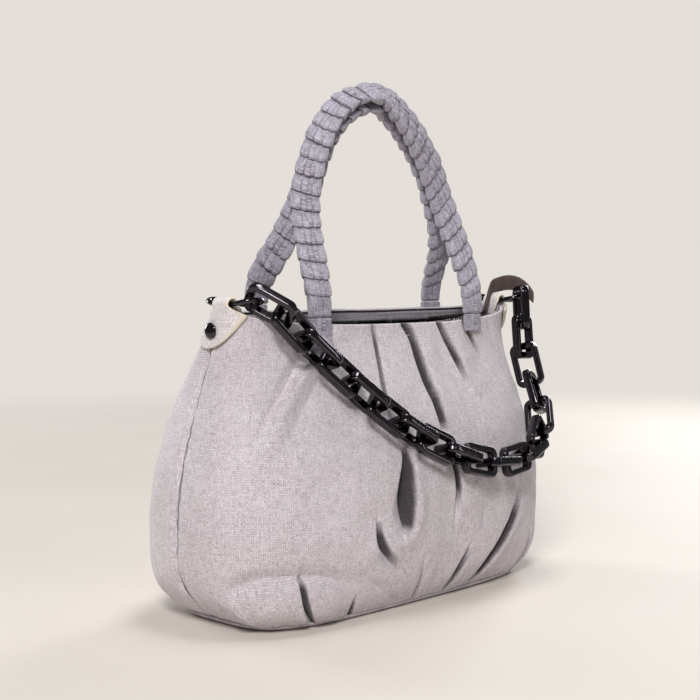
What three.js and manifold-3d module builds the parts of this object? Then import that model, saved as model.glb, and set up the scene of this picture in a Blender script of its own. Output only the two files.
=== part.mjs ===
// A pleated shoulder bag in soft woven fabric: two gathered panels sewn to a flat base, a brown lining,
// a zip whose tail stands out at one end, two shingled carrying handles and a chunky chain that hangs
// from an oval ring at each end of the mouth. All lengths are in millimetres, +Z up.
// X runs along the bag and -Y is its front. The origin is the middle of the face that the bag rests on.

import * as THREE from 'three';
import { mergeVertices } from 'three/addons/utils/BufferGeometryUtils.js';
import Module from 'manifold-3d';

const wasm = await Module();
wasm.setup();

function vec(x, y, z) {
  return new THREE.Vector3(x, y, z);
}

// Body of the bag
const RIM_HEIGHT = 214;          // top of the two ends of the mouth
const BELLY_HEIGHT = 57;         // where the bag is widest
const BASE_LENGTH = 286;
const BELLY_LENGTH = 350;
const MOUTH_LENGTH = 294;
const BASE_FRONT = 66;           // reach of the base in front of the origin
const BASE_BACK = 60;
const BELLY_FRONT = 82;
const BELLY_BACK = 77;
const MOUTH_FRONT = 44;
const MOUTH_BACK = 6;            // reach of the back rim behind the origin: the mouth leans forward
const BASE_SQUARENESS = 4.2;     // power of the rounded oblong, 2 is an ellipse
const BELLY_SQUARENESS = 2.9;
const MOUTH_SQUARENESS = 3;
const FRONT_RIM_SAG = 12;        // how far the middle of the front rim hangs below its ends
const BACK_RIM_SAG = 2;
const PANEL_THICKNESS = 2.6;
const GAP = 0.3;                 // between pieces that touch

// Base, stiffener and lining
const BASE_THICKNESS = 4;
const BASE_ROUND = 7;            // how far the resting face lies inside the seam
const BOARD_THICKNESS = 2.4;
const BOARD_MARGIN = 6;
const LINING_THICKNESS = 1;
const LINING_EASE = 1.1;         // room for the seams between the panels and what lines them
const PANEL_LEVELS = [0, 0.02, 0.07, 0.14, 0.21, 0.3, 0.4, 0.51, 0.62, 0.74, 0.84, 0.93, 1]; // shares of its height
const FACING_LEVELS = 3;         // how many of the last levels the facing covers; the lining starts at the second
const FACING_THICKNESS = 1.2;
const FACING_DROP = 0.6;         // facing's top below the rim

// Folds from the rim down: turn round the bag in degrees (0 left end, 90 front), height, how deep the cloth dives
// there, and how far it swells beside the fold. The columns of a panel keep to its folds.
const FRONT_FOLDS = [
  [[65, 206, 0, 0], [61, 190, 2, 0], [53, 168, 2.5, 1.5], [42, 134, 3, 3.2], [35, 104, 1.5, 2], [33, 60, 0, 0.5],
    [36, 4, 0, 0]],
  [[78.5, 206, 0, 0], [79.6, 192, 3, 1], [79.5, 173, 3, 1], [78, 140, 1.5, 0], [80.5, 112, 3.5, 1],
    [79.6, 88, 5, 3], [77, 62, 3.5, 2.5], [71, 40, 2.5, 1], [66, 4, 0, 0]],
  [[89, 206, 0, 0], [91.8, 196, 5, 3], [93, 182, 6, 4], [94, 160, 6, 3], [95.2, 140, 4, 0.5], [97, 112, 3, 0],
    [97.5, 92, 4.5, 2.5], [96.6, 66, 3, 2], [96, 40, 0, 1], [96, 4, 0, 0]],
  [[105.5, 206, 0, 0], [108.8, 194, 4, 2], [110.6, 180, 4, 2.5], [112, 155, 2.5, 1], [116, 112, 0, 0], [122, 76, 0, 1],
    [120.5, 56, 4.5, 2], [113.5, 33, 4.5, 2], [109, 4, 1, 0]],
  [[117.5, 206, 0, 0], [120, 194, 3, 0], [122.5, 180, 2.5, 0.5], [128, 150, 0, 0], [132, 60, 0, 0.5],
    [132, 28, 2.5, 1], [130, 4, 0, 0]],
];
const BACK_FOLDS = [
  [[236, 206, 0, 0], [238, 188, 4, 2], [240, 160, 3.5, 2], [241, 126, 1, 0.5], [242, 90, 1, 1], [241, 60, 3.5, 2],
    [238, 20, 2.5, 1], [237, 4, 0, 0]],
  [[252, 206, 0, 0], [253, 186, 5, 3], [255, 152, 5, 3], [256, 118, 1.5, 1], [260, 82, 3, 2], [259, 50, 2.5, 2],
    [257, 4, 0, 0]],
  [[268, 206, 0, 0], [268, 184, 4.5, 3], [267, 150, 4, 2.5], [267, 112, 1, 1], [269, 60, 0, 1], [270, 26, 2.5, 1],
    [270, 4, 0, 0]],
  [[283, 206, 0, 0], [282, 188, 4, 2], [280.5, 160, 3, 2], [281, 124, 0.5, 0.5], [284, 80, 1.5, 1],
    [286.5, 50, 3.5, 2], [289, 20, 2.5, 1], [290, 4, 0, 0]],
  [[298, 206, 0, 0], [296, 190, 3, 1], [293, 168, 2, 1], [296, 120, 0, 0], [303, 80, 2, 1.5], [306, 24, 2, 1],
    [307, 4, 0, 0]],
];
const RELIEF_FADE = 12;          // height over which folds fade out at the rim and the base
const FOLD_WIDTH = 5;
const SWELL_REACH = 9;           // from a fold to the top of the swell beside it
const DEGREE = 3;                // length of one degree of turn along the front
const COLUMNS_BESIDE_FOLD = [-7, 0, 8]; // places of a panel's columns at a fold
const COLUMNS_TO_END = 6;        // steps from the first or last fold to the end of the panel
// Wide swells of the slack cloth: turn, height, reach along and up, rise
const SWELLS = [
  [60, 58, 26, 18, 1.8], [44, 60, 30, 34, 1.2], [86, 172, 14, 22, 1.2], [101, 176, 12, 24, 2], [88, 80, 12, 22, 2.4],
  [106, 80, 14, 22, 2.2], [55, 17, 14, 8, 1.6], [48, 34, 26, 4, -3.5], [246, 172, 12, 26, 2], [261, 176, 12, 26, 2.2],
  [275, 176, 11, 24, 1.8], [252, 68, 22, 24, 2.2], [276, 66, 22, 24, 2.2], [228, 60, 30, 28, 1.6], [312, 62, 30, 30, 1.6],
];

// Carrying handles: shingled bands that lie face to face over the middle of the bag
const HANDLE_WIDTH = 20.5;
const HANDLE_THICKNESS = 7.6;
const SHINGLE_PITCH = 12.5;
const SHINGLE_STEP = 1.3;        // how far each shingle stands out over the next
const SHINGLE_ENDS = { thick: 0.04, thin: 0.94 }; // shares of a shingle's length at which it is so
const HANDLE_TOP = 372;          // centre of the front band at its highest
const FRONT_HANDLE_SPAN = 166;
const BACK_HANDLE_SPAN = 188;
const HANDLE_BEND_ABOVE_RIM = 7;
const HANDLE_MEETING_HEIGHT = 92; // above this the two bands lie against each other
const HANDLE_SQUARENESS = 2.5;
const HANDLE_CLEARANCE = 1.8;    // between the two bands where they meet
const HANDLE_MEETING_Y = -24.2;
const HANDLE_END_THICKNESS = 5;
const HANDLE_END_LENGTH = 16;    // over which a handle grows to its full thickness
const HANDLE_EDGE = 2.2;         // chamfer of its four edges
const SEWN_LENGTH_LEFT = 17;     // how far each end of a handle is sewn down over the panel
const SEWN_LENGTH_RIGHT = 9;
const SEWN_EASE = 0.8;
// Where the front of the band faces, at shares of its length from left to right
const HANDLE_FACING = [
  [0, vec(0, -1, 0)], [0.12, vec(-0.45, -0.9, 0)], [0.3, vec(-0.75, -0.6, 0.25)], [0.43, vec(-0.5, -0.45, 0.75)],
  [0.5, vec(-0.2, -0.65, 0.73)], [0.57, vec(-0.15, -0.95, 0.3)], [0.7, vec(-0.35, -0.93, 0)],
  [0.88, vec(-0.25, -0.97, 0)], [1, vec(0, -1, 0)],
];

// End tabs, rings and rivets
const TAB_NECK = 14;             // width where the tab folds over the ring
const TAB_WIDTH = 31;
const TAB_LENGTH = 29;
const TAB_THICKNESS = 2;
const TAB_EASE = 1.4;            // room between a tab and the panels under it
const TAB_INNER_LENGTH = 20;
const TAB_SHOULDER = 8;          // from the fold down to where the tab is widest
const RIVET_DROP = 14;           // rivet below the top of the rim
const RIVET_CAP_DIAMETER = 11;
const RIVET_CAP_HEIGHT = 2.6;
const RIVET_POST_DIAMETER = 3;
const RIVET_BACK_DIAMETER = 9;
const RIVET_BACK_HEIGHT = 1.2;
const RIVET_CLEARANCE = 0.3;
const RING_WIRE = 3.6;
const RING_LENGTH = 48;
const RING_WIDTH = 22.6;
const RING_BOW = 3.5;            // the ends of the ring are bent up this much
const RING_SHIFT = 1;            // how far each ring has slipped back in its tab
const RING_CLEARANCE = 0.35;

// Chain
const LINK_LENGTH = 36.4;
const LINK_WIDTH = 23;
const LINK_BAR = 6;              // bar seen from the flat side
const LINK_THICKNESS = 6.5;
const LINK_CORNER = 6.5;         // outer radius of a link's corners, more than the bar: the window has corners too
const LINK_CHAMFER = 1.5;
const LINK_SLACK = 0.35;         // play between two links pulled taut
const HOOK_TURNS = { left: 12.8, right: -10 }; // where on its ring's bend each end of the chain hangs, in degrees
const RING_PLAYS = { left: 0.63, right: 0.94 }; // between a ring and the link that hangs from it
const CHAIN_CLEARANCE = 1.8;     // between the chain and the panel
// Route of the chain between its rings: turn round the bag in degrees, share of the panel's height,
// and how far it stands off the panel there beyond its resting distance
const CHAIN_ROUTE = [
  [43, 1.066, 0], [50.7, 0.984, 3.2], [61.5, 0.85, 1], [69, 0.745, 0], [79, 0.625, 0], [91, 0.53, 0],
  [104, 0.468, 0], [116, 0.46, 0], [126, 0.5, 0], [134.5, 0.58, 0], [140, 0.66, 0], [142.8, 0.751, 0.5],
  [144.7, 0.828, 1.5],
];
const CHAIN_START_TWIST = -37;   // how far the first link is turned from lying edge-on, in degrees
const CHAIN_END_TWIST = 31;      // and the last from lying flat
const CHAIN_TWIST_FADE = 1.1;    // in links

// Zip, open: its tapes stand inside the mouth, and past the slider the closed end stands out as a tail
const ZIP_TAPE_THICKNESS = 1;
const ZIP_EASES = { front: 1, back: 3.4 }; // from the facings
const ZIP_TOP_EDGES = { front: 1, back: 0.945 };      // shares of the panel's height
const ZIP_BOTTOM_EDGES = { front: 0.945, back: 0.885 };
const ZIP_FRONT_RISE = 3;        // front tape's top above the middle of the front rim
const ZIP_FRONT_FALL = 2;        // and below it towards the ends
const ZIP_TEETH_WIDTH = 2.6;
const ZIP_TEETH_HEIGHT = 3;
const ZIP_TEETH_SEAT = 0.6;      // from the edge of the tape to the teeth
const ZIP_START = -117;          // left end of the teeth
const ZIP_END = 132;
const ZIP_CLOSING_FROM = 74;     // the tapes come together from here on, up to the slider
const SLIDER_X = 123;
const SLIDER_DROP = 8.6;         // middle of the slider below the ends of the rim
const SLIDER_LENGTH = 13;
const SLIDER_WIDTH = 9;
const SLIDER_HEIGHT = 6.4;
const SLIDER_PLATE = 1.7;
const SLIDER_WEB = 3;            // between the two channels that the teeth run in
const SLIDER_CLEARANCE = 0.5;    // from the slider to the teeth beside it
const EAR_THICKNESS = 1.4;
const EAR_RADIUS = 2;
const PIN_DIAMETER = 2;
const PIN_FROM_SLIDER = 2.9;     // pin's centre from the end of the slider
const EYE_RADIUS = 2.4;
const EYE_WIDTH = 3.2;
const EYE_CLEARANCE = 0.35;
const PULLER_LENGTH = 20;
const PULLER_WIDTH = 7;
const PULLER_THICKNESS = 1.8;
const TAIL_THICKNESS = 3.4;
const TAIL_HEIGHTS = [           // x, and the tail's bottom and top over the rim
  [131, -12.5, -2.5], [135, -5, 6], [139, 4.5, 16], [141.5, 9, 20], [148, 9.8, 22],
  [163, 12, 24.5], [178, 10.5, 23], [190, 5.5, 18], [199, 0, 10],
];

const radians = (degrees) => degrees * Math.PI / 180;
const clamp = (x) => Math.min(1, Math.max(0, x));
const mix = (a, b, f) => a + (b - a) * f;
const smooth = (x) => clamp(x) * clamp(x) * (3 - 2 * clamp(x));

// Materials

const fabric = (color) => new THREE.MeshStandardMaterial({ color, roughness: 0.85, metalness: 0 });
const metal = () => new THREE.MeshStandardMaterial({ color: 0x1c1a1e, roughness: 0.22, metalness: 0.9 });
const WOVEN = 0xb5afae;
const WOVEN_SHADE = 0x9b9696;
const LINING = 0x43342f;
const BOARD = 0x55504c;

const bag = new THREE.Group();

// Adds a named piece, with its faces turned outwards
function addPiece(name, geometry, material) {
  const position = geometry.getAttribute('position');
  const index = geometry.getIndex();
  let volume = 0;
  const a = vec();
  const b = vec();
  const c = vec();
  for (let i = 0; i < index.count; i += 3) {
    a.fromBufferAttribute(position, index.getX(i));
    b.fromBufferAttribute(position, index.getX(i + 1));
    c.fromBufferAttribute(position, index.getX(i + 2));
    volume += a.dot(b.cross(c));
  }
  if (volume < 0) {
    const turned = Array.from(index.array);
    for (let i = 0; i < turned.length; i += 3) {
      [turned[i], turned[i + 1]] = [turned[i + 1], turned[i]];
    }
    geometry.setIndex(turned);
  }
  geometry.computeVertexNormals();
  const mesh = new THREE.Mesh(geometry, material);
  mesh.name = name;
  bag.add(mesh);
  return mesh;
}

function indexed(points, triangles) {
  const geometry = new THREE.BufferGeometry();
  geometry.setAttribute('position', new THREE.Float32BufferAttribute(points.flatMap((p) => p.toArray()), 3));
  geometry.setIndex(triangles);
  return geometry;
}

// A closed body through a row of rings with equal numbers of points; the ends are capped unless the row closes
function loftRings(rings, closed = false) {
  const sides = rings[0].length;
  const points = rings.flat();
  const triangles = [];
  const last = closed ? rings.length : rings.length - 1;
  for (let i = 0; i < last; i++) {
    const next = (i + 1) % rings.length;
    for (let j = 0; j < sides; j++) {
      const k = (j + 1) % sides;
      const a = i * sides + j;
      const b = i * sides + k;
      const c = next * sides + k;
      const d = next * sides + j;
      triangles.push(a, b, c, a, c, d);
    }
  }
  if (!closed) {
    [0, rings.length - 1].forEach((i) => {
      const middle = vec();
      rings[i].forEach((p) => middle.addScaledVector(p, 1 / sides));
      const tip = points.push(middle) - 1;
      for (let j = 0; j < sides; j++) {
        const a = i * sides + j;
        const b = i * sides + (j + 1) % sides;
        triangles.push(...(i === 0 ? [tip, b, a] : [tip, a, b]));
      }
    });
  }
  return indexed(points, triangles);
}

// A closed sheet between an outer and an inner surface, each given at (u, v) from 0 to 1
function loftSheet(outer, inner, columns, rows) {
  const rings = [];
  for (let i = 0; i <= columns; i++) {
    const ring = [];
    for (let j = 0; j <= rows; j++) {
      ring.push(outer(i / columns, j / rows));
    }
    for (let j = rows; j >= 0; j--) {
      ring.push(inner(i / columns, j / rows));
    }
    rings.push(ring);
  }
  const sides = 2 * (rows + 1);
  const points = rings.flat();
  const triangles = [];
  for (let i = 0; i < columns; i++) {
    for (let j = 0; j < sides; j++) {
      const k = (j + 1) % sides;
      const a = i * sides + j;
      const b = i * sides + k;
      const c = (i + 1) * sides + k;
      const d = (i + 1) * sides + j;
      triangles.push(...(j <= rows ? [a, b, c, a, c, d] : [a, b, d, b, c, d]));
    }
  }
  [0, columns].forEach((i) => {
    for (let j = 0; j < rows; j++) {
      const a = i * sides + j;
      const b = a + 1;
      const c = i * sides + sides - 2 - j;
      const d = c + 1;
      triangles.push(...(i === 0 ? [a, d, c, a, c, b] : [a, c, d, a, b, c]));
    }
  });
  return indexed(points, triangles);
}

// Booleans

function toManifold(geometry) {
  const bare = geometry.clone();
  bare.deleteAttribute('normal');
  bare.deleteAttribute('uv');
  const merged = mergeVertices(bare, 1e-4);
  const vertProperties = new Float32Array(merged.getAttribute('position').array);
  const triVerts = new Uint32Array(merged.getIndex().array);
  return new wasm.Manifold(new wasm.Mesh({ numProp: 3, vertProperties, triVerts }));
}

function fromManifold(solid) {
  const mesh = solid.getMesh();
  const geometry = new THREE.BufferGeometry();
  geometry.setAttribute('position', new THREE.Float32BufferAttribute(mesh.vertProperties, 3));
  geometry.setIndex(Array.from(mesh.triVerts));
  return geometry;
}

const cut = (geometry, tool) => fromManifold(toManifold(geometry).subtract(toManifold(tool)));
const join = (geometry, other) => fromManifold(toManifold(geometry).add(toManifold(other)));

// Shape of the bag: at every height a rounded oblong whose reach to the left, front and back is set here

function outline(height) {
  const low = clamp((height - BASE_THICKNESS) / (BELLY_HEIGHT - BASE_THICKNESS));
  const high = clamp((height - BELLY_HEIGHT) / (RIM_HEIGHT - BELLY_HEIGHT));
  const round = 1 - (1 - low) ** 2.8;
  const halfLength = mix(mix(BASE_LENGTH, BELLY_LENGTH, round), MOUTH_LENGTH, smooth(high ** 1.15)) / 2;
  const front = mix(mix(BASE_FRONT, BELLY_FRONT, round), MOUTH_FRONT, smooth(high ** 1.4));
  const back = mix(mix(BASE_BACK, BELLY_BACK, round), MOUTH_BACK, high ** 2.3);
  const squareness = mix(mix(BASE_SQUARENESS, BELLY_SQUARENESS, round), MOUTH_SQUARENESS, high);
  return { halfLength, halfDepth: (front + back) / 2, middle: (back - front) / 2, squareness };
}

// Where a fold lies at a height, how deep it is there and how far the cloth swells beside it
function foldAt(fold, height) {
  const after = fold.findIndex(([, listed]) => listed <= height);
  if (after === 0) return fold[0];
  const to = after < 0 ? fold[fold.length - 1] : fold[after];
  const from = fold[after < 0 ? fold.length - 1 : after - 1];
  const share = clamp((height - from[1]) / (to[1] - from[1] || 1));
  return from.map((value, i) => mix(value, to[i], share));
}

// How far the cloth stands out of the plain shell: a valley along each fold, a swell beside it, and wide swells
function relief(folds, turn, height) {
  let lift = 0;
  folds.forEach((fold) => {
    const [line, , depth, swell] = foldAt(fold, height);
    const across = (turn - line) * DEGREE;
    const reach = Math.max(0, across) / SWELL_REACH;
    lift += swell * reach * Math.exp(1 - reach) - depth * Math.exp(-((across / FOLD_WIDTH) ** 2));
  });
  SWELLS.forEach(([at, middle, wide, high, rise]) => {
    lift += rise * Math.exp(-(((turn - at) * DEGREE / wide) ** 2) - ((height - middle) / high) ** 2);
  });
  return lift * smooth((RIM_HEIGHT - height) / RELIEF_FADE) * smooth((height - BASE_THICKNESS) / RELIEF_FADE);
}

// A point of the shell: turn in degrees runs 0 at the left end, 90 front, 180 right end, 270 back;
// t runs from the base seam to the rim, and out is the distance outside the outer face
function shellPoint(turn, t, out = 0, folds = []) {
  const height = BASE_THICKNESS + GAP + t * (RIM_HEIGHT - BASE_THICKNESS - GAP);
  const { halfLength, halfDepth, middle, squareness } = outline(height);
  const c = Math.cos(radians(turn));
  const s = Math.sin(radians(turn));
  const reach = (Math.abs(c) ** squareness + Math.abs(s) ** squareness) ** (-1 / squareness);
  const dip = (s > 0 ? FRONT_RIM_SAG : BACK_RIM_SAG) * (reach * s) ** 2;
  const z = height - dip * t * t;
  const lift = out + (folds.length ? relief(folds, turn, z) : 0);
  return vec(-(halfLength + lift) * reach * c, middle - (halfDepth + lift) * reach * s, z);
}

// Direction square out of the shell
function shellNormal(turn, t) {
  const along = shellPoint(turn + 0.5, t).sub(shellPoint(turn - 0.5, t));
  const up = shellPoint(turn, Math.min(1, t + 0.01)).sub(shellPoint(turn, Math.min(1, t + 0.01) - 0.02));
  return along.cross(up).normalize();
}

// Turns of a panel's columns at a height: a few beside each fold, one between folds, and even steps to the ends
function columnTurns({ from, to, folds }, height) {
  const groups = folds.map((fold) => COLUMNS_BESIDE_FOLD.map((beside) => foldAt(fold, height)[0] + beside / DEGREE));
  const turns = [];
  const evenly = (start, end, steps) => {
    for (let i = 0; i < steps; i++) turns.push(mix(start, end, i / steps));
  };
  groups.forEach((group, i) => {
    const before = i === 0 ? from : groups[i - 1][group.length - 1];
    evenly(before, group[0], i === 0 ? COLUMNS_TO_END : 2);
    turns.push(...group.slice(0, -1));
  });
  const last = groups[groups.length - 1];
  evenly(last[last.length - 1], to, COLUMNS_TO_END);
  return [...turns, to];
}

// Part of the shell over one half of the bag, through a list of levels; half the seam gap is left at both ends,
// and the highest edge can be lowered a little
function shellSheet({ half, levels, out, thickness, lowerTop = 0 }) {
  const rows = levels.length - 1;
  const turns = levels.map((t) => columnTurns(half, mix(BASE_THICKNESS, RIM_HEIGHT, t)));
  const columns = turns[0].length - 1;
  const face = (offset) => (u, v) => {
    const row = Math.round(v * rows);
    const t = levels[row];
    const { halfDepth } = outline(mix(BASE_THICKNESS, RIM_HEIGHT, t));
    const seam = Math.atan(GAP / 2 / (halfDepth + offset)) * 180 / Math.PI;
    const turn = Math.min(half.to - seam, Math.max(half.from + seam, turns[row][Math.round(u * columns)]));
    const point = shellPoint(turn, t, offset, half.folds);
    if (row === rows) point.z -= lowerTop;
    return point;
  };
  return loftSheet(face(out), face(out - thickness), columns, rows);
}

// Base: the woven bottom, the stiffener on it and the lining over that

function oblong(height, inset, sides) {
  const { halfLength, halfDepth, middle, squareness } = outline(height);
  return Array.from({ length: sides }, (_, i) => {
    const angle = i / sides * 2 * Math.PI;
    const c = Math.cos(angle);
    const s = Math.sin(angle);
    const reach = (Math.abs(c) ** squareness + Math.abs(s) ** squareness) ** (-1 / squareness);
    return vec(-(halfLength - inset) * reach * c, middle - (halfDepth - inset) * reach * s, height);
  });
}

function slab(bottom, top, inset, extraBottom = 0) {
  const at = (z, margin) => oblong(BASE_THICKNESS, margin, 48).map((p) => vec(p.x, p.y, z));
  return loftRings([at(bottom, inset + extraBottom), at(mix(bottom, top, 0.6), inset + extraBottom * 0.2), at(top, inset)]);
}

const boardBottom = BASE_THICKNESS + GAP;
const boardTop = boardBottom + BOARD_THICKNESS;
const liningBottom = boardTop + GAP;
const liningTop = liningBottom + LINING_THICKNESS;
const liningOut = -PANEL_THICKNESS - LINING_EASE;

addPiece('base_panel', slab(0, BASE_THICKNESS, 0, BASE_ROUND), fabric(WOVEN));
addPiece('base_board', slab(boardBottom, boardTop, BOARD_MARGIN), fabric(BOARD));
addPiece('base_lining', slab(liningBottom, liningTop, BOARD_MARGIN), fabric(LINING));

// Rivets go through the tab, the seam of the two panels, the facings and the tab's inner end

const leftEnd = { side: -1, name: 'left' };
const rightEnd = { side: 1, name: 'right' };
const ends = [leftEnd, rightEnd];
const mouth = outline(RIM_HEIGHT);
const rivetHeight = RIM_HEIGHT - RIVET_DROP;
const atRivet = outline(rivetHeight);

function rod(radius, from, to, sides = 16) {
  const direction = to.clone().sub(from);
  const geometry = new THREE.CylinderGeometry(radius, radius, direction.length(), sides);
  geometry.applyQuaternion(new THREE.Quaternion().setFromUnitVectors(vec(0, 1, 0), direction.clone().normalize()));
  const middle = from.clone().lerp(to, 0.5);
  geometry.translate(middle.x, middle.y, middle.z);
  return geometry;
}

function rivetHole(geometry, side) {
  const x = side * atRivet.halfLength;
  const from = vec(x - side * 14, atRivet.middle, rivetHeight);
  const to = vec(x + side * 6, atRivet.middle, rivetHeight);
  return cut(geometry, rod(RIVET_POST_DIAMETER / 2 + RIVET_CLEARANCE, from, to));
}

const bothHoles = (geometry) => ends.reduce((g, end) => rivetHole(g, end.side), geometry);

// Outer panels, facings and lining

const halves = [
  { name: 'front', sign: -1, from: 0, to: 180, folds: FRONT_FOLDS },
  { name: 'back', sign: 1, from: 180, to: 360, folds: BACK_FOLDS },
];

halves.forEach((half) => {
  const panel = shellSheet({ half, levels: PANEL_LEVELS, out: 0, thickness: PANEL_THICKNESS });
  addPiece(`${half.name}_panel`, bothHoles(panel), fabric(WOVEN));
  const facing = shellSheet({
    half, levels: PANEL_LEVELS.slice(-FACING_LEVELS), out: liningOut, thickness: FACING_THICKNESS, lowerTop: FACING_DROP,
  });
  addPiece(`${half.name}_facing`, bothHoles(facing), fabric(WOVEN_SHADE));
  const lining = shellSheet({
    half, levels: PANEL_LEVELS.slice(1, 1 - FACING_LEVELS), out: liningOut, thickness: LINING_THICKNESS, lowerTop: GAP,
  });
  addPiece(`${half.name}_lining`, lining, fabric(LINING));
});

// Tabs: a strap folded over the ring, with its outer end on the bag and its inner end behind the facings

const wireHeight = RIM_HEIGHT + RING_WIRE / 2 + RING_CLEARANCE + 1;
const insideOut = liningOut - FACING_THICKNESS - 2 * GAP;
const foldCentre = mouth.halfLength + (TAB_EASE + insideOut) / 2;
const foldRadius = (TAB_EASE - insideOut) / 2;

// Point on the shell's end at height z and across from its middle; over the ring it stays straight
function endPoint(side, z, across, out) {
  const follow = clamp((wireHeight - z) / (wireHeight - RIM_HEIGHT - GAP));
  const low = Math.min(z, RIM_HEIGHT);
  let at = outline(low);
  let share = 0;
  for (let pass = 0; pass < 3; pass++) {
    share = clamp(Math.abs(across) / (at.halfDepth + out));
    const dip = (across < 0 ? FRONT_RIM_SAG : BACK_RIM_SAG) * share ** 2;
    at = outline(Math.min(RIM_HEIGHT, low + dip * (low / RIM_HEIGHT) ** 2));
  }
  const curved = (at.halfLength + out) * (1 - share ** at.squareness) ** (1 / at.squareness);
  return vec(side * mix(outline(low).halfLength + out, curved, follow), at.middle + across, z);
}

// Point on the front (-1) or back (1) of the shell at x and height z; above the rim it goes straight up
function facePoint(sign, x, z, out) {
  const low = Math.min(z, RIM_HEIGHT);
  let at = outline(low);
  let share = 0;
  for (let pass = 0; pass < 3; pass++) {
    share = (1 - clamp(Math.abs(x) / (at.halfLength + out)) ** at.squareness) ** (1 / at.squareness);
    const dip = (sign < 0 ? FRONT_RIM_SAG : BACK_RIM_SAG) * share ** 2;
    at = outline(Math.min(RIM_HEIGHT, low + dip * (low / RIM_HEIGHT) ** 2));
  }
  return vec(x, at.middle + sign * (at.halfDepth + out) * share, z);
}

function rimHeightAt(sign, x) {
  const share = (1 - clamp(Math.abs(x) / mouth.halfLength) ** mouth.squareness) ** (1 / mouth.squareness);
  return RIM_HEIGHT - (sign < 0 ? FRONT_RIM_SAG : BACK_RIM_SAG) * share ** 2;
}

function tabHalfWidth(drop) {
  if (drop <= TAB_SHOULDER) {
    return mix(TAB_NECK, TAB_WIDTH, smooth(drop / TAB_SHOULDER)) / 2;
  }
  const down = (drop - TAB_SHOULDER) / (TAB_LENGTH - TAB_SHOULDER);
  return TAB_WIDTH / 2 * Math.sqrt(Math.max(0.02, 1 - down ** 2.4));
}

function tab(side) {
  const stations = [];
  const outerDrops = [1, 0.97, 0.9, 0.78, 0.62, 0.45, 0.3, 0.2, 0.1, 0].map((share) => share * TAB_LENGTH);
  outerDrops.forEach((drop) => stations.push((across, layer) => {
    const y = across * tabHalfWidth(drop);
    return endPoint(side, wireHeight - drop, y, TAB_EASE + layer * TAB_THICKNESS);
  }));
  [30, 60, 90, 120, 150].forEach((angle) => stations.push((across, layer) => {
    const radius = foldRadius + layer * TAB_THICKNESS;
    const x = foldCentre + radius * Math.cos(radians(angle));
    return vec(side * x, mouth.middle + across * TAB_NECK / 2, wireHeight + radius * Math.sin(radians(angle)));
  }));
  [0, 0.16, 0.6, 1].forEach((share) => stations.push((across, layer) => {
    const y = across * TAB_NECK / 2;
    const z = wireHeight - share * (TAB_INNER_LENGTH + wireHeight - RIM_HEIGHT);
    return endPoint(side, z, y, insideOut - layer * TAB_THICKNESS);
  }));
  const face = (layer) => (u, v) => stations[Math.round(u * (stations.length - 1))](2 * v - 1, layer);
  return loftSheet(face(1), face(0), stations.length - 1, 6);
}

// Rivets: a domed cap with its post, and a flat washer that the post is closed over behind the tab

function turnedAlongX(profile, side, x) {
  const geometry = new THREE.LatheGeometry(profile.map(([r, d]) => new THREE.Vector2(r, d)), 16);
  geometry.rotateZ(-side * Math.PI / 2);
  geometry.translate(x, atRivet.middle, rivetHeight);
  geometry.deleteAttribute('uv');
  geometry.deleteAttribute('normal');
  return mergeVertices(geometry, 1e-4);
}

const rivetLean = outline(rivetHeight - RIVET_CAP_DIAMETER / 2).halfLength - atRivet.halfLength;
const rivetSeat = TAB_EASE + TAB_THICKNESS + GAP + rivetLean;
const rivetBackSeat = TAB_THICKNESS - insideOut + GAP + rivetLean;

function rivet(side) {
  const cap = RIVET_CAP_DIAMETER / 2;
  const post = RIVET_POST_DIAMETER / 2;
  const backTop = -rivetBackSeat - RIVET_BACK_HEIGHT - GAP;
  const capProfile = [
    [0, backTop - 0.8], [post * 1.5, backTop - 0.8], [post * 1.5, backTop], [post, backTop], [post, rivetSeat],
    [cap * 0.9, rivetSeat], [cap, rivetSeat + 0.7], [cap * 0.92, rivetSeat + RIVET_CAP_HEIGHT * 0.6],
    [cap * 0.62, rivetSeat + RIVET_CAP_HEIGHT * 0.9], [0, rivetSeat + RIVET_CAP_HEIGHT],
  ];
  return turnedAlongX(capProfile, side, side * atRivet.halfLength);
}

function rivetWasher(side) {
  const inner = RIVET_POST_DIAMETER / 2 + RIVET_CLEARANCE;
  const outer = RIVET_BACK_DIAMETER / 2;
  const near = -rivetBackSeat;
  const far = near - RIVET_BACK_HEIGHT;
  const profile = [[inner, near], [outer, near], [outer, far + 0.4], [outer - 0.4, far], [inner, far], [inner, near]];
  return turnedAlongX(profile, side, side * atRivet.halfLength);
}

// Rings: round wire bent to an oval that is also bowed, so that the chain pulls on a raised end

const ringHalfWidth = (RING_WIDTH - RING_WIRE) / 2;
const ringHalfLength = (RING_LENGTH - RING_WIRE) / 2;
const ringMiddle = mouth.middle + RING_SHIFT;

// The left ring lies inwards over the mouth, and the right one outwards under the zip's tail
const ringCentre = (side) => side * (foldCentre + side * ringHalfWidth);

function ringPoint(side, along) {
  const straight = ringHalfLength - ringHalfWidth;
  const quarter = Math.PI / 2 * ringHalfWidth;
  const half = 2 * straight + 2 * quarter;
  const distance = (along * 2 * half) % (2 * half);
  const sign = distance < half ? 1 : -1;
  const d = distance % half;
  let x = ringHalfWidth;
  let y = d - straight;
  if (d > 2 * straight) {
    const angle = (d - 2 * straight) / ringHalfWidth;
    x = ringHalfWidth * Math.cos(angle);
    y = straight + ringHalfWidth * Math.sin(angle);
  }
  return vec(ringCentre(side) + sign * x, ringMiddle + sign * y, wireHeight + RING_BOW * (y / ringHalfLength) ** 2);
}

// Points around a place on a path, in the plane square to it; the offsets give each point across and up
function ringAt(point, along, up, offsets) {
  const square = up.clone().addScaledVector(along, -up.dot(along)).normalize();
  const across = along.clone().cross(square);
  return offsets.map(([a, b]) => point.clone().addScaledVector(across, a).addScaledVector(square, b));
}

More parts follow.
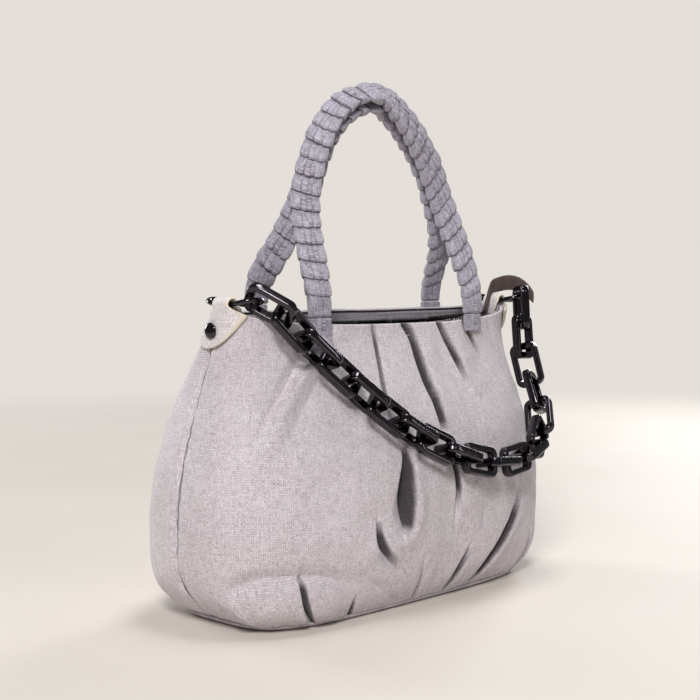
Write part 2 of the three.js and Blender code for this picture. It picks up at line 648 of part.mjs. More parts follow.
const polygon = (sides, radius) => Array.from({ length: sides }, (_, i) => {
  const angle = i / sides * 2 * Math.PI;
  return [radius * Math.cos(angle), radius * Math.sin(angle)];
});

function ring(side) {
  const steps = 24;
  const section = polygon(8, RING_WIRE / 2);
  const path = Array.from({ length: steps }, (_, i) => (i + 0.5) / steps);
  return loftRings(path.map((along) => {
    const ahead = ringPoint(side, (along + 0.5 / steps) % 1).sub(ringPoint(side, (along - 0.5 / steps + 1) % 1));
    return ringAt(ringPoint(side, along), ahead.normalize(), vec(0, 0, 1), section);
  }), true);
}

ends.forEach(({ side, name }) => {
  addPiece(`${name}_tab`, rivetHole(tab(side), side), fabric(WOVEN));
  addPiece(`${name}_rivet`, rivet(side), metal());
  addPiece(`${name}_rivet_washer`, rivetWasher(side), metal());
  addPiece(`${name}_ring`, ring(side), metal());
});

// Chain: links of square bar with chamfered edges, each standing across its neighbours.
// The bar of every link seats inside the window of the next with a named play.

function linkRings() {
  const halfLength = (LINK_LENGTH - LINK_BAR) / 2;
  const halfWidth = (LINK_WIDTH - LINK_BAR) / 2;
  const corner = LINK_CORNER - LINK_BAR / 2;
  const path = [];
  const outward = [];
  [[1, 1, 0], [-1, 1, 90], [-1, -1, 180], [1, -1, 270]].forEach(([sx, sy, start]) => {
    [0, 90].forEach((step) => {
      const angle = radians(start + step);
      outward.push(vec(Math.cos(angle), Math.sin(angle), 0));
      const centre = vec(sx * (halfLength - corner), sy * (halfWidth - corner), 0);
      path.push(centre.addScaledVector(outward[outward.length - 1], corner));
    });
  });
  const a = LINK_BAR / 2;
  const b = LINK_THICKNESS / 2;
  const c = LINK_CHAMFER;
  const section = [[a, -b + c], [a, b - c], [a - c, b], [-a + c, b], [-a, b - c], [-a, -b + c], [-a + c, -b], [a - c, -b]];
  return path.map((point, i) => section.map(([out, up]) => point.clone().addScaledVector(outward[i], out).setZ(up)));
}

const chainOut = LINK_WIDTH / 2 + CHAIN_CLEARANCE;

// Where the chain hangs in a ring: turned round the ring's front bend from its foremost point, towards +X
function hook(side, turn) {
  const ahead = ringHalfLength - ringHalfWidth * (1 - Math.cos(radians(turn)));
  const x = ringCentre(side) + ringHalfWidth * Math.sin(radians(turn));
  return vec(x, ringMiddle - ahead, wireHeight + RING_BOW * (ahead / ringHalfLength) ** 2);
}

const leftHook = hook(-1, HOOK_TURNS.left);
const rightHook = hook(1, HOOK_TURNS.right);
const routePoints = CHAIN_ROUTE.map(([turn, t, extra]) => shellPoint(turn, t, chainOut + extra));
const routeNormals = CHAIN_ROUTE.map(([turn, t]) => shellNormal(turn, t));
const chainCurve = new THREE.CatmullRomCurve3([leftHook, ...routePoints, rightHook]);
const normalCurve = new THREE.CatmullRomCurve3([routeNormals[0], ...routeNormals, routeNormals[routeNormals.length - 1]]);
chainCurve.arcLengthDivisions = 2000;

const chainLength = chainCurve.getLength();
const hookToCentre = LINK_LENGTH / 2 - LINK_BAR - RING_WIRE / 2;
const firstPlace = hookToCentre - RING_PLAYS.left;
const lastPlace = chainLength - hookToCentre + RING_PLAYS.right;
const longestPitch = LINK_LENGTH - 2 * LINK_BAR - LINK_SLACK;
const linkCount = Math.ceil((lastPlace - firstPlace) / longestPitch) + 1;
const linkPitch = (lastPlace - firstPlace) / (linkCount - 1);

for (let i = 0; i < linkCount; i++) {
  const place = firstPlace + i * linkPitch;
  const share = place / chainLength;
  const reach = Math.min(linkPitch / 2, place, chainLength - place) / chainLength;
  const start = chainCurve.getPointAt(share - reach);
  const end = chainCurve.getPointAt(share + reach);
  const along = end.clone().sub(start).normalize();
  const normal = normalCurve.getPoint(chainCurve.getUtoTmapping(share));
  normal.addScaledVector(along, -normal.dot(along)).normalize();
  const fromEnd = linkCount - 1 - i;
  const endTwist = CHAIN_END_TWIST - (linkCount % 2 === 1 ? 90 : 0);
  const twist = CHAIN_START_TWIST * Math.exp(-i / CHAIN_TWIST_FADE) + endTwist * Math.exp(-fromEnd / CHAIN_TWIST_FADE);
  const roll = radians((i % 2 === 0 ? 90 : 0) + twist);
  normal.applyAxisAngle(along, roll);
  const across = normal.clone().cross(along);
  const placed = new THREE.Matrix4().makeBasis(along, across, normal);
  placed.setPosition(start.clone().lerp(end, 0.5));
  const geometry = loftRings(linkRings(), true);
  geometry.applyMatrix4(placed);
  addPiece(`chain_link_${String(i + 1).padStart(2, '0')}`, geometry, metal());
}

// Handles: a sewn-down end on the panel, a fold just above the rim, and the free shingled band over it

const handles = [
  { name: 'front', sign: -1, half: FRONT_HANDLE_SPAN / 2 },
  { name: 'back', sign: 1, half: BACK_HANDLE_SPAN / 2 },
].map((handle) => {
  const rim = rimHeightAt(handle.sign, handle.half);
  const out = SEWN_EASE + HANDLE_END_THICKNESS / 2;
  const fold = facePoint(handle.sign, handle.half, rim, out).setZ(rim + HANDLE_BEND_ABOVE_RIM);
  return { ...handle, rim, fold };
});

function sewnEnd({ sign, half, rim, fold }, side, length) {
  const top = fold.z - HANDLE_END_THICKNESS / 2 - GAP;
  const face = (out) => (u, v) => {
    const x = side * half + (u - 0.5) * HANDLE_WIDTH;
    return facePoint(sign, x, mix(rim - length, top, v), SEWN_EASE + out);
  };
  return loftSheet(face(HANDLE_END_THICKNESS), face(0), 4, 4);
}

// The arch of a handle as a rounded oblong that starts square to the rim
function archPoint(fold, turn) {
  const power = 2 / HANDLE_SQUARENESS;
  const c = Math.cos(Math.PI * turn);
  const rise = (HANDLE_TOP - fold.z) * Math.sin(Math.PI * turn) ** power;
  return { x: -Math.sign(c) * fold.x * Math.abs(c) ** power, rise, joined: smooth(rise / HANDLE_MEETING_HEIGHT) };
}

function facingAt(share) {
  const next = HANDLE_FACING.findIndex(([at]) => at >= share);
  if (next < 1) return HANDLE_FACING[0][1].clone();
  const [from, a] = HANDLE_FACING[next - 1];
  const [to, b] = HANDLE_FACING[next];
  return a.clone().lerp(b, smooth((share - from) / (to - from))).normalize();
}

const turns = Array.from({ length: 49 }, (_, i) => i / 48);
const [frontHandle, backHandle] = handles;
const frontCurve = new THREE.CatmullRomCurve3(turns.map((turn) => {
  const { x, rise, joined } = archPoint(frontHandle.fold, turn);
  return vec(x, mix(frontHandle.fold.y, HANDLE_MEETING_Y, joined), frontHandle.fold.z + rise);
}));
// Share of the front band's length that lies before a turn of its arch
function frontShare(turn) {
  const lengths = frontCurve.getLengths();
  return lengths[Math.round(turn * (lengths.length - 1))] / lengths[lengths.length - 1];
}

// The back band leaves its own folds and comes to lie against the back of the front band
const backCurve = new THREE.CatmullRomCurve3(turns.map((turn) => {
  const { x, rise, joined } = archPoint(backHandle.fold, turn);
  const own = vec(x, backHandle.fold.y, backHandle.fold.z + rise);
  const along = frontCurve.getTangent(turn);
  const facing = facingAt(frontShare(turn));
  facing.addScaledVector(along, -facing.dot(along)).normalize();
  const behind = frontCurve.getPoint(turn).addScaledVector(facing, -HANDLE_THICKNESS - HANDLE_CLEARANCE);
  return own.lerp(behind, joined);
}));

function bandSection(thickness) {
  const a = HANDLE_WIDTH / 2;
  const b = thickness / 2;
  const c = Math.min(HANDLE_EDGE, b * 0.8);
  return [[a, -b + c], [a, b - c], [a - c, b], [-a + c, b], [-a, b - c], [-a, -b + c], [-a + c, -b], [a - c, -b]];
}

function handleBand(curve, facing) {
  const length = curve.getLength();
  const shingles = Math.round(length / SHINGLE_PITCH);
  const pitch = length / shingles;
  const radius = HANDLE_END_THICKNESS / 2;
  const rings = [];
  const addRing = (distance, thickness) => {
    const share = clamp(distance / length);
    const upright = vec(0, 0, share < 0.5 ? 1 : -1);
    const along = upright.lerp(curve.getTangentAt(share), fromEnds(distance)).normalize();
    const point = curve.getPointAt(share).addScaledVector(along, distance - share * length);
    rings.push(ringAt(point, along, facing(share), bandSection(thickness)));
  };
  const fromEnds = (distance) => smooth(Math.min(distance, length - distance) / HANDLE_END_LENGTH);
  const full = (distance) => mix(HANDLE_END_THICKNESS, HANDLE_THICKNESS, fromEnds(distance));
  const tips = [0.98, 0.7].map((share) => [share * radius, 2 * radius * Math.sqrt(1 - share * share)]);
  tips.forEach(([beyond, thickness]) => addRing(-beyond, thickness));
  for (let i = 0; i < shingles; i++) {
    const start = i * pitch;
    const step = SHINGLE_STEP * smooth(Math.min(i, shingles - 1 - i) / 2);
    addRing(start + SHINGLE_ENDS.thick * pitch, full(start));
    addRing(start + SHINGLE_ENDS.thin * pitch, full(start + pitch) - step);
  }
  tips.reverse().forEach(([beyond, thickness]) => addRing(length + beyond, thickness));
  return loftRings(rings);
}

handles.forEach((handle) => {
  addPiece(`${handle.name}_handle_left_end`, sewnEnd(handle, -1, SEWN_LENGTH_LEFT), fabric(WOVEN));
  addPiece(`${handle.name}_handle_right_end`, sewnEnd(handle, 1, SEWN_LENGTH_RIGHT), fabric(WOVEN));
});
addPiece('front_handle', handleBand(frontCurve, facingAt), fabric(WOVEN));
const backFacing = (share) => facingAt(frontShare(backCurve.getUtoTmapping(share)));
addPiece('back_handle', handleBand(backCurve, backFacing), fabric(WOVEN));

// Zip tapes and teeth; they keep to the panel's own columns, so that they follow its folds

const zipTurns = (half) => columnTurns(half, RIM_HEIGHT).filter((turn) => {
  const { x } = shellPoint(turn, 1);
  return x > ZIP_START && x < ZIP_END;
});
const sliderZ = RIM_HEIGHT - SLIDER_DROP;
const zipBesideSlider = SLIDER_WIDTH / 2 + SLIDER_CLEARANCE + ZIP_TEETH_WIDTH / 2;
const zipEndTop = sliderZ - ZIP_TEETH_HEIGHT / 2 - GAP;

// Point of a tape: inward is measured from its outer face, and edge is 1 at its top and 0 at its bottom
function tapePoint({ name, sign, folds }, turn, edge, inward) {
  const t = mix(ZIP_BOTTOM_EDGES[name], ZIP_TOP_EDGES[name], edge);
  const point = shellPoint(turn, t, insideOut - ZIP_EASES[name] - inward, folds);
  if (sign < 0) point.z += edge * mix(-ZIP_FRONT_FALL, ZIP_FRONT_RISE, Math.sin(radians(turn)) ** 4);
  const closing = smooth((point.x - ZIP_CLOSING_FROM) / (SLIDER_X - SLIDER_LENGTH / 2 - ZIP_CLOSING_FROM));
  const beside = mouth.middle + sign * (zipBesideSlider + ZIP_TAPE_THICKNESS / 2 - inward);
  const width = (ZIP_TOP_EDGES.front - ZIP_BOTTOM_EDGES.front) * RIM_HEIGHT;
  point.y = mix(point.y, beside, closing);
  point.z = mix(point.z, zipEndTop - (1 - edge) * width, closing);
  return point;
}

halves.forEach((half) => {
  const turns = zipTurns(half);
  const face = (inward) => (u, v) => tapePoint(half, turns[Math.round(u * (turns.length - 1))], v, inward);
  addPiece(`zip_tape_${half.name}`, loftSheet(face(0), face(ZIP_TAPE_THICKNESS), turns.length - 1, 2), fabric(LINING));
  const w = ZIP_TEETH_WIDTH / 2;
  const teeth = turns.map((turn) => {
    const middle = tapePoint(half, turn, 1, ZIP_TAPE_THICKNESS / 2);
    const upwards = middle.clone().sub(tapePoint(half, turn, 0.5, ZIP_TAPE_THICKNESS / 2)).normalize();
    const outwards = tapePoint(half, turn, 1, 0).sub(middle).setZ(0);
    outwards.addScaledVector(upwards, -outwards.dot(upwards)).normalize();
    const low = ZIP_TEETH_SEAT;
    const high = low + ZIP_TEETH_HEIGHT;
    return [[-w, low], [w, low], [w, high], [-w, high]].map(([across, up]) => (
      middle.clone().addScaledVector(outwards, across).addScaledVector(upwards, up)
    ));
  });
  addPiece(`zip_teeth_${half.name}`, loftRings(teeth), metal());
});

// Slider with a channel on each side for the teeth, ears and a pin; the puller's eye turns on the pin

function box(length, width, height, x, y, z) {
  const geometry = new THREE.BoxGeometry(length, width, height);
  geometry.translate(x, y, z);
  return geometry;
}

const pinX = -SLIDER_LENGTH / 2 - PIN_FROM_SLIDER;
const pinZ = SLIDER_HEIGHT / 2 - EAR_RADIUS;

function slider() {
  const channel = (SLIDER_WIDTH - SLIDER_WEB) / 2;
  const opening = SLIDER_HEIGHT - 2 * SLIDER_PLATE;
  let body = box(SLIDER_LENGTH, SLIDER_WIDTH, SLIDER_HEIGHT, 0, 0, 0);
  [-1, 1].forEach((side) => {
    const y = side * (SLIDER_WEB / 2 + channel / 2 + 0.5);
    body = cut(body, box(SLIDER_LENGTH + 2, channel + 1, opening, 0, y, 0));
  });
  [-1, 1].forEach((side) => {
    const near = side * (EYE_WIDTH / 2 + EYE_CLEARANCE);
    const far = near + side * EAR_THICKNESS;
    body = join(body, rod(EAR_RADIUS, vec(pinX, near, pinZ), vec(pinX, far, pinZ), 12));
    const reach = PIN_FROM_SLIDER + 1;
    body = join(body, box(reach, EAR_THICKNESS, SLIDER_PLATE, pinX + reach / 2, (near + far) / 2, SLIDER_HEIGHT / 2 - SLIDER_PLATE / 2));
  });
  const half = EYE_WIDTH / 2 + EYE_CLEARANCE + EAR_THICKNESS / 2;
  return join(body, rod(PIN_DIAMETER / 2, vec(pinX, -half, pinZ), vec(pinX, half, pinZ), 12));
}

function puller() {
  const eye = rod(EYE_RADIUS, vec(pinX, -EYE_WIDTH / 2, pinZ), vec(pinX, EYE_WIDTH / 2, pinZ), 16);
  const top = pinZ - EYE_RADIUS - 0.8;
  const neck = box(PULLER_THICKNESS, EYE_WIDTH, EYE_RADIUS + 1.8, pinX, 0, pinZ - (EYE_RADIUS + 1.8) / 2);
  const plate = box(PULLER_THICKNESS, PULLER_WIDTH, PULLER_LENGTH, pinX, 0, top - PULLER_LENGTH / 2);
  const whole = join(join(eye, neck), plate);
  const bore = PIN_DIAMETER / 2 + EYE_CLEARANCE;
  return cut(whole, rod(bore, vec(pinX, -EYE_WIDTH, pinZ), vec(pinX, EYE_WIDTH, pinZ), 16));
}

[['zip_slider', slider()], ['zip_puller', puller()]].forEach(([name, geometry]) => {
  geometry.translate(SLIDER_X, mouth.middle, sliderZ);
  addPiece(name, geometry, metal());
});

// Tail: the closed end of the zip, bound in the lining's cloth and standing on edge over the right ring

const tailSection = (x, low, high) => {
  const w = TAIL_THICKNESS / 2;
  const y = mouth.middle;
  return [[w, low], [w, high - 1], [0, high], [-w, high - 1], [-w, low]].map(([across, z]) => vec(x, y + across, RIM_HEIGHT + z));
};
addPiece('zip_tail', loftRings(TAIL_HEIGHTS.map(([x, low, high]) => tailSection(x, low, high))), fabric(LINING));

export default bag;
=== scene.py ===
# %% [markdown]
# # A pleated shoulder bag in woven fabric
# The real bag is two gathered panels sewn to a flat base, with a brown lining, a zip, two shingled
# handles and a heavy chain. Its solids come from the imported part. Each soft piece is made again here
# as a fine surface in the same place, and so are the links, rings, rivets and teeth, with round edges.

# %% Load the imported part
from functools import partialmethod

import bpy
import numpy as np
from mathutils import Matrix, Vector


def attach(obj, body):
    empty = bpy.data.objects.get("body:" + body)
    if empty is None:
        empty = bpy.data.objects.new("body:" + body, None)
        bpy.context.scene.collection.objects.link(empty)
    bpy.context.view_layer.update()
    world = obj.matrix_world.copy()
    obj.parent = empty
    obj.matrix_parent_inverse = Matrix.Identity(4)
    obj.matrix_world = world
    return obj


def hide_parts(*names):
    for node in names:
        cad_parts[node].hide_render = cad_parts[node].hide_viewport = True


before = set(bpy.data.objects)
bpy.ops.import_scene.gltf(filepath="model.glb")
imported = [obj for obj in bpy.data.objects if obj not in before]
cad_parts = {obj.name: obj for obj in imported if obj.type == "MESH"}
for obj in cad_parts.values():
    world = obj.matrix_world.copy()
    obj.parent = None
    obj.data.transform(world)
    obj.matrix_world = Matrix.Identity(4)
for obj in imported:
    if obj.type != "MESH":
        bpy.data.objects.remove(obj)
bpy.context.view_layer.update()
print("packed nodes:", len(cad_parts))

# %% [markdown]
# ## Camera
# The bag stands on a table and is seen a little from the left and from just above its middle, so its
# front and left end both show. A lens at a fixed place with no shift gives that view.

# %% Set up the camera
CAMERA_PLACE = (-0.7073, -0.6798, 0.233)     # metres
CAMERA_HEADING = 0.77                        # radians from +X towards +Y
CAMERA_PITCH = 0.053                         # radians down
LENS, SENSOR = 66.86, 36                     # mm
FAR_CLIP = 60                                # metres

camera_data = bpy.data.cameras.new("camera")
camera_data.lens, camera_data.sensor_width, camera_data.clip_end = LENS, SENSOR, FAR_CLIP
camera = bpy.data.objects.new("camera", camera_data)
bpy.context.scene.collection.objects.link(camera)
looking = Vector((np.cos(CAMERA_HEADING) * np.cos(CAMERA_PITCH),
                  np.sin(CAMERA_HEADING) * np.cos(CAMERA_PITCH), -np.sin(CAMERA_PITCH)))
camera.location = CAMERA_PLACE
camera.rotation_euler = looking.to_track_quat("-Z", "Y").to_euler()
bpy.context.scene.camera = camera
bpy.context.scene.view_settings.view_transform = "Standard"
print("camera looks along", tuple(round(c, 3) for c in looking))

# %% [markdown]
# ## Light
# One large lamp high at the left gives every pleat a lit and a shaded side, a weaker one above fills the
# mouth, and two behind the bag draw its outline. Dark metal shows only what it mirrors, so two narrow
# strips are there for the chain: their long reflections draw the edges of its links.

# %% Light the studio
LAMPS = [       # name, place and target in metres, width, height, power in watts, colour
    ("key_light", (-1.31, -1.03, 1.3), (0, 0, 0.15), 0.42, 0.42, 25.5, (1, 0.985, 0.975)),
    ("top_light", (0.1, -0.1, 1.6), (0, 0, 0.1), 0.5, 0.4, 9, (1, 1, 1)),
    ("right_strip", (1.15, -1.2, 0.55), (0, 0, 0.15), 0.05, 0.6, 0.7, (1, 1, 1)),
    ("front_strip", (-0.2, -1.6, 1.1), (0, 0, 0.15), 0.6, 0.05, 0.7, (1, 1, 1)),
    ("rear_left_light", (-0.35, 1.9, 0.6), (0, 0, 0.2), 0.6, 0.6, 15, (1, 1, 1)),
    ("rear_right_light", (1.9, 0.6, 0.7), (0, 0, 0.2), 0.6, 0.6, 18, (1, 1, 1)),
]


def link(obj):
    """Puts an object into the scene."""
    bpy.context.scene.collection.objects.link(obj)
    return obj


for name, place, target, width, height, power, tint in LAMPS:
    lamp = bpy.data.lights.new(name, "AREA")
    lamp.shape = "RECTANGLE"
    lamp.size, lamp.size_y, lamp.energy, lamp.color = width, height, power, tint
    holder = link(bpy.data.objects.new(name, lamp))
    holder.location = place
    holder.rotation_euler = (Vector(target) - Vector(place)).to_track_quat("-Z", "Y").to_euler()
print("lamps:", len(LAMPS))

# %% [markdown]
# ## From numbers to meshes
# Cloth could be modelled by hand or dropped by a simulation. Here every new piece is a surface on a grid
# of two parameters, worked out as a whole array, because each fold then lies where its numbers say. A
# sheet is closed with an inner surface at half the resolution, because nobody sees that side.

# %% Mesh helpers
MM = 0.001


def build(name, points, faces, corner_uv=None, body="bag_body"):
    """A mesh piece from points in mm and lists of faces, with one uv pair in metres per face corner."""
    mesh = bpy.data.meshes.new(name)
    points = np.asarray(points, float).reshape(-1, 3) * MM
    totals = np.concatenate([np.full(len(f), f.shape[1]) for f in faces])
    corners = np.concatenate([f.ravel() for f in faces])
    mesh.vertices.add(len(points))
    mesh.vertices.foreach_set("co", points.ravel())
    mesh.loops.add(len(corners))
    mesh.loops.foreach_set("vertex_index", corners.astype(np.int32))
    mesh.polygons.add(len(totals))
    mesh.polygons.foreach_set("loop_start", (np.cumsum(totals) - totals).astype(np.int32))
    mesh.polygons.foreach_set("use_smooth", np.ones(len(totals), bool))
    mesh.update(calc_edges=True)
    if corner_uv is not None:
        pairs = np.concatenate([c.reshape(-1, 2) for c in corner_uv])
        mesh.uv_layers.new(name="cloth").data.foreach_set("uv", pairs.ravel().astype(np.float32))
    mesh.validate()
    obj = link(bpy.data.objects.new(name, mesh))
    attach(obj, body)
    return turn_outwards(obj)


def turn_outwards(obj):
    """Turns every face over if the closed mesh's volume, the sum of a . (b x c) over its triangles, is negative."""
    mesh = obj.data
    co = np.empty(len(mesh.vertices) * 3)
    mesh.vertices.foreach_get("co", co)
    mesh.calc_loop_triangles()
    tri = np.empty(len(mesh.loop_triangles) * 3, np.int32)
    mesh.loop_triangles.foreach_get("vertices", tri)
    a, b, c = co.reshape(-1, 3)[tri.reshape(-1, 3)].transpose(1, 0, 2)
    if np.einsum("ij,ij->i", a, np.cross(b, c)).sum() < 0:
        mesh.flip_normals()
    return obj


def grid_quads(rows, columns, wrap=False, loop=False):
    """Corner indices of the quads of a grid whose points run row by row. Wrap joins its last column to the first,
    and loop its last row to the first."""
    i, j = np.meshgrid(np.arange(rows if loop else rows - 1), np.arange(columns if wrap else columns - 1),
                       indexing="ij")
    here, below, right = i * columns, (i + 1) % rows * columns, (j + 1) % columns
    return np.stack([here + j, here + right, below + right, below + j], -1).reshape(-1, 4)


def stitch(fine, coarse):
    """Triangles between a row of 2n + 1 points and a row of n + 1 points beside it."""
    a, b, c = fine[0:-1:2], fine[1::2], fine[2::2]
    p, q = coarse[:-1], coarse[1:]
    return np.concatenate([np.stack([a, b, p], -1), np.stack([b, q, p], -1), np.stack([b, c, q], -1)])


def close_sheet(name, outer, inner, uv):
    """A closed sheet: outer is a grid of 2a + 1 by 2b + 1 points, and inner every second of them, moved in."""
    rows, columns = outer.shape[:2]
    first = rows * columns
    out_index = np.arange(first).reshape(rows, columns)
    in_index = first + np.arange(inner.shape[0] * inner.shape[1]).reshape(inner.shape[:2])
    back = grid_quads(*inner.shape[:2])[:, ::-1] + first
    rims = [(out_index[0][::-1], in_index[0][::-1]), (out_index[-1], in_index[-1]),
            (out_index[:, 0], in_index[:, 0]), (out_index[::-1, -1], in_index[::-1, -1])]
    edge = np.concatenate([stitch(f, c)[:, ::-1] for f, c in rims])
    all_uv = np.concatenate([uv.reshape(-1, 2), uv[::2, ::2].reshape(-1, 2)])
    faces = [np.concatenate([grid_quads(rows, columns), back]), edge]
    points = np.concatenate([outer.reshape(-1, 3), inner.reshape(-1, 3)])
    return build(name, points, faces, [all_uv[f] for f in faces])


def tube(name, rings, uv=None, closed=False, body="bag_body"):
    """A closed body through rings of equal numbers of points; its ends close on their middles unless it is a loop."""
    count, sides = rings.shape[:2]
    points = rings.reshape(-1, 3)
    if closed:
        return build(name, points, [grid_quads(count, sides, wrap=True, loop=True)], None, body)
    j = np.arange(sides)
    k, last, tip = (j + 1) % sides, (count - 1) * sides, len(points)
    caps = np.concatenate([np.stack([k, j, 0 * j + tip], -1), np.stack([last + j, last + k, 0 * j + tip + 1], -1)])
    corner_uv = None
    if uv is not None:
        pairs = uv.reshape(-1, 2)
        ends = np.concatenate([np.stack([j + 1, j, j], -1), np.stack([(count - 1) * (sides + 1) + j] * 3, -1)])
        corner_uv = [pairs[grid_quads(count, sides + 1)], pairs[ends]]
    points = np.concatenate([points, rings[[0, -1]].mean(1)])
    return build(name, points, [grid_quads(count, sides, wrap=True), caps], corner_uv, body)


print("quads of a grid of 3 by 4 points:", len(grid_quads(3, 4)))

# %% [markdown]
# ## Woven cloth as a material
# The bag's cloth is a coarse plain weave of light and darker yarns with slubs in them. A photo of
# cloth would blur up close, so the yarns are worked out from the piece's own uv map in metres: two
# sines make the over and under of the weave, and noise stretched along each yarn makes its slubs.

# %% Material helpers


class Nodes:
    """Short ways to add and join the nodes of one material."""

    def __init__(self, name):
        self.material = bpy.data.materials.new(name)
        self.material.use_nodes = True
        self.tree = self.material.node_tree
        self.shader = self.tree.nodes["Principled BSDF"]

    def put(self, socket, value):
        """Joins an input to another node's output, or gives it a plain value."""
        if isinstance(value, bpy.types.NodeSocket):
            self.tree.links.new(value, socket)
        else:
            socket.default_value = value

    def add(self, kind, inputs=(), **settings):
        """A new node with its settings and inputs."""
        made = self.tree.nodes.new(kind)
        for key, value in settings.items():
            setattr(made, key, value)
        for key, value in dict(inputs).items():
            self.put(made.inputs[key], value)
        return made

    def shade(self, inputs):
        """Sets inputs of the material's own shader."""
        for key, value in inputs.items():
            self.put(self.shader.inputs[key], value)

    def math(self, operation, a, b=0.0, c=0.0):
        """The named operation on up to three values."""
        return self.add("ShaderNodeMath", {0: a, 1: b, 2: c}, operation=operation).outputs[0]

    plus, minus = partialmethod(math, "ADD"), partialmethod(math, "SUBTRACT")
    times, over = partialmethod(math, "MULTIPLY"), partialmethod(math, "DIVIDE")

    def sine(self, value, factor):
        """The sine of a value times a factor."""
        return self.math("SINE", self.times(value, factor))

    def noise(self, vector, scale, detail=2.0, roughness=0.5):
        """Cloudy noise from 0 to 1 around 0.5; scale is its number of swells per unit of the vector."""
        inputs = {"Vector": vector, "Scale": scale, "Detail": detail, "Roughness": roughness}
        return self.add("ShaderNodeTexNoise", inputs).outputs[0]

    def join(self, x, y, z=0.0):
        """A vector from three values."""
        return self.add("ShaderNodeCombineXYZ", {"X": x, "Y": y, "Z": z}).outputs[0]

    def named(self, attribute):
        """The number that a piece stores at each point under a name."""
        return self.add("ShaderNodeAttribute", attribute_name=attribute).outputs["Fac"]

    def ramp(self, value, stops):
        """A colour that runs from stop to stop as the value grows."""
        made = self.add("ShaderNodeValToRGB", {"Fac": value})
        elements = made.color_ramp.elements
        while len(elements) < len(stops):
            elements.new(0.5)
        for element, (place, tint) in zip(elements, stops):
            element.position = place
            element.color = (*tint, 1)
        return made.outputs[0]

    def blend(self, share, a, b):
        """The colour a share of the way from a to b."""
        return self.add("ShaderNodeMix", {0: share, 6: a, 7: b}, data_type="RGBA").outputs[2]

    def bump(self, height, strength, distance):
        """The surface tilted as if it rose by height times distance in metres."""
        return self.add("ShaderNodeBump", {"Height": height, "Strength": strength, "Distance": distance}).outputs[0]


def colour(red, green, blue):
    """A colour given as screen values from 0 to 255, in the linear values that a shader takes: a straight line
    near black, and the power 2.4 above it."""
    c = np.array([red, green, blue]) / 255
    return tuple(float(v) for v in np.where(c <= 0.04045, c / 12.92, ((c + 0.055) / 1.055) ** 2.4))


print("the screen's middle grey is", round(colour(128, 128, 128)[0], 3))

# %% [markdown]
# Four cloths share one weave: the shell, its facing, which is the shell's cloth coloured darker as a painted
# shade, the greyer handles and the pale tabs. A painted shade stored at each point darkens the bottom of each
# tuck, which on the real bag is deeper than here, and another attribute named paint covers the cut edges
# of the tabs.

# %% Woven cloths
WEAVE_RELIEF = 0.00022              # metres that a yarn's crown stands up
TUCK_SHADE = colour(38, 32, 35)     # painted shade of the cloth deep in a tuck
EDGE_PAINT = colour(238, 226, 206)


def mix(a, b, share):
    """The value that lies a share of the way from a to b."""
    return a + (b - a) * share


def woven(name, light, dark, pitch=0.00145, slub=0.6):
    """Plain weave: sin(u) sin(v) is above 0 where the upright yarn lies on top and below 0 where the level one does,
    its size is the height of the yarn there, and each yarn takes its tone from noise stretched along it."""
    n = Nodes(name)
    uv = n.add("ShaderNodeUVMap", uv_map="cloth").outputs[0]
    place = n.add("ShaderNodeTexCoord").outputs["Object"]
    wander = n.noise(uv, 90, 1)
    parts = n.add("ShaderNodeSeparateXYZ", {"Vector": uv}).outputs
    u = n.plus(n.over(parts[0], pitch), n.times(wander, 1.1))
    v = n.plus(n.over(parts[1], pitch), n.times(wander, 0.9))
    both = n.times(n.sine(u, np.pi), n.sine(v, np.pi))
    upright = n.math("GREATER_THAN", both, 0.0)
    crown = n.math("POWER", n.math("ABSOLUTE", both), 0.45)
    u_yarn, v_yarn = n.math("FLOOR", u), n.math("FLOOR", v)
    level_slub = n.noise(n.join(n.times(u, 0.27), n.times(v_yarn, 7.31)), 1.0, 2)
    upright_slub = n.noise(n.join(n.times(u_yarn, 5.17), n.times(v, 0.33), 3.7), 1.0, 2)
    choice = {0: upright, 2: level_slub, 3: n.minus(upright_slub, 0.05)}
    yarn = n.add("ShaderNodeMix", choice, data_type="FLOAT").outputs[0]
    fibre, patch = n.noise(uv, 2600, 2), n.noise(place, 22, 3)
    tone = n.math("MULTIPLY_ADD", n.minus(yarn, 0.5), 2.1 * slub, 0.52)
    # crown darkens the tone in the dips between the yarns and lightens it on their tops, a painted shade and
    # highlight; fibre and patch are the yarns' own uneven tone
    for part, usual, share in ((fibre, 0.5, 0.5), (crown, 0.75, 0.5), (patch, 0.5, 0.22)):
        tone = n.plus(tone, n.times(n.minus(part, usual), share))
    middle = tuple(mix(a, b, 0.62) for a, b in zip(dark, light))
    cloth = n.ramp(tone, [(0.0, dark), (0.5, middle), (1.0, light)])
    height = n.plus(n.plus(crown, n.times(yarn, 0.8 * slub)), n.times(fibre, 0.25))
    # the stored share mixes the cloth towards TUCK_SHADE: a painted shade deep in the tucks and under the handles'
    # rows
    n.shade({"Base Color": n.blend(n.times(n.named("crease_shade"), 0.93), cloth, (*TUCK_SHADE, 1)),
             "Normal": n.bump(height, 0.85, WEAVE_RELIEF), "Roughness": 0.82, "Sheen Weight": 0.25,
             "Sheen Roughness": 0.5, "Specular IOR Level": 0.25})
    return n


shell_cloth = woven("woven_shell", colour(240, 233, 238), colour(170, 160, 166))
handle_cloth = woven("woven_handle", colour(206, 201, 214), colour(116, 109, 122), pitch=0.0013, slub=0.8)
# the facing is the shell's own cloth, coloured darker as a painted shade for its place inside the mouth
shaded_facing_cloth = woven("woven_facing_shaded", colour(196, 189, 197), colour(128, 121, 129))
tab_cloth = woven("woven_tab", colour(250, 244, 245), colour(196, 188, 191))
plain_tab = tab_cloth.shader.inputs["Base Color"].links[0].from_socket
tab_cloth.shade({"Base Color": tab_cloth.blend(tab_cloth.named("paint"), plain_tab, (*EDGE_PAINT, 1))})
print("nodes in the weave:", len(shell_cloth.tree.nodes))
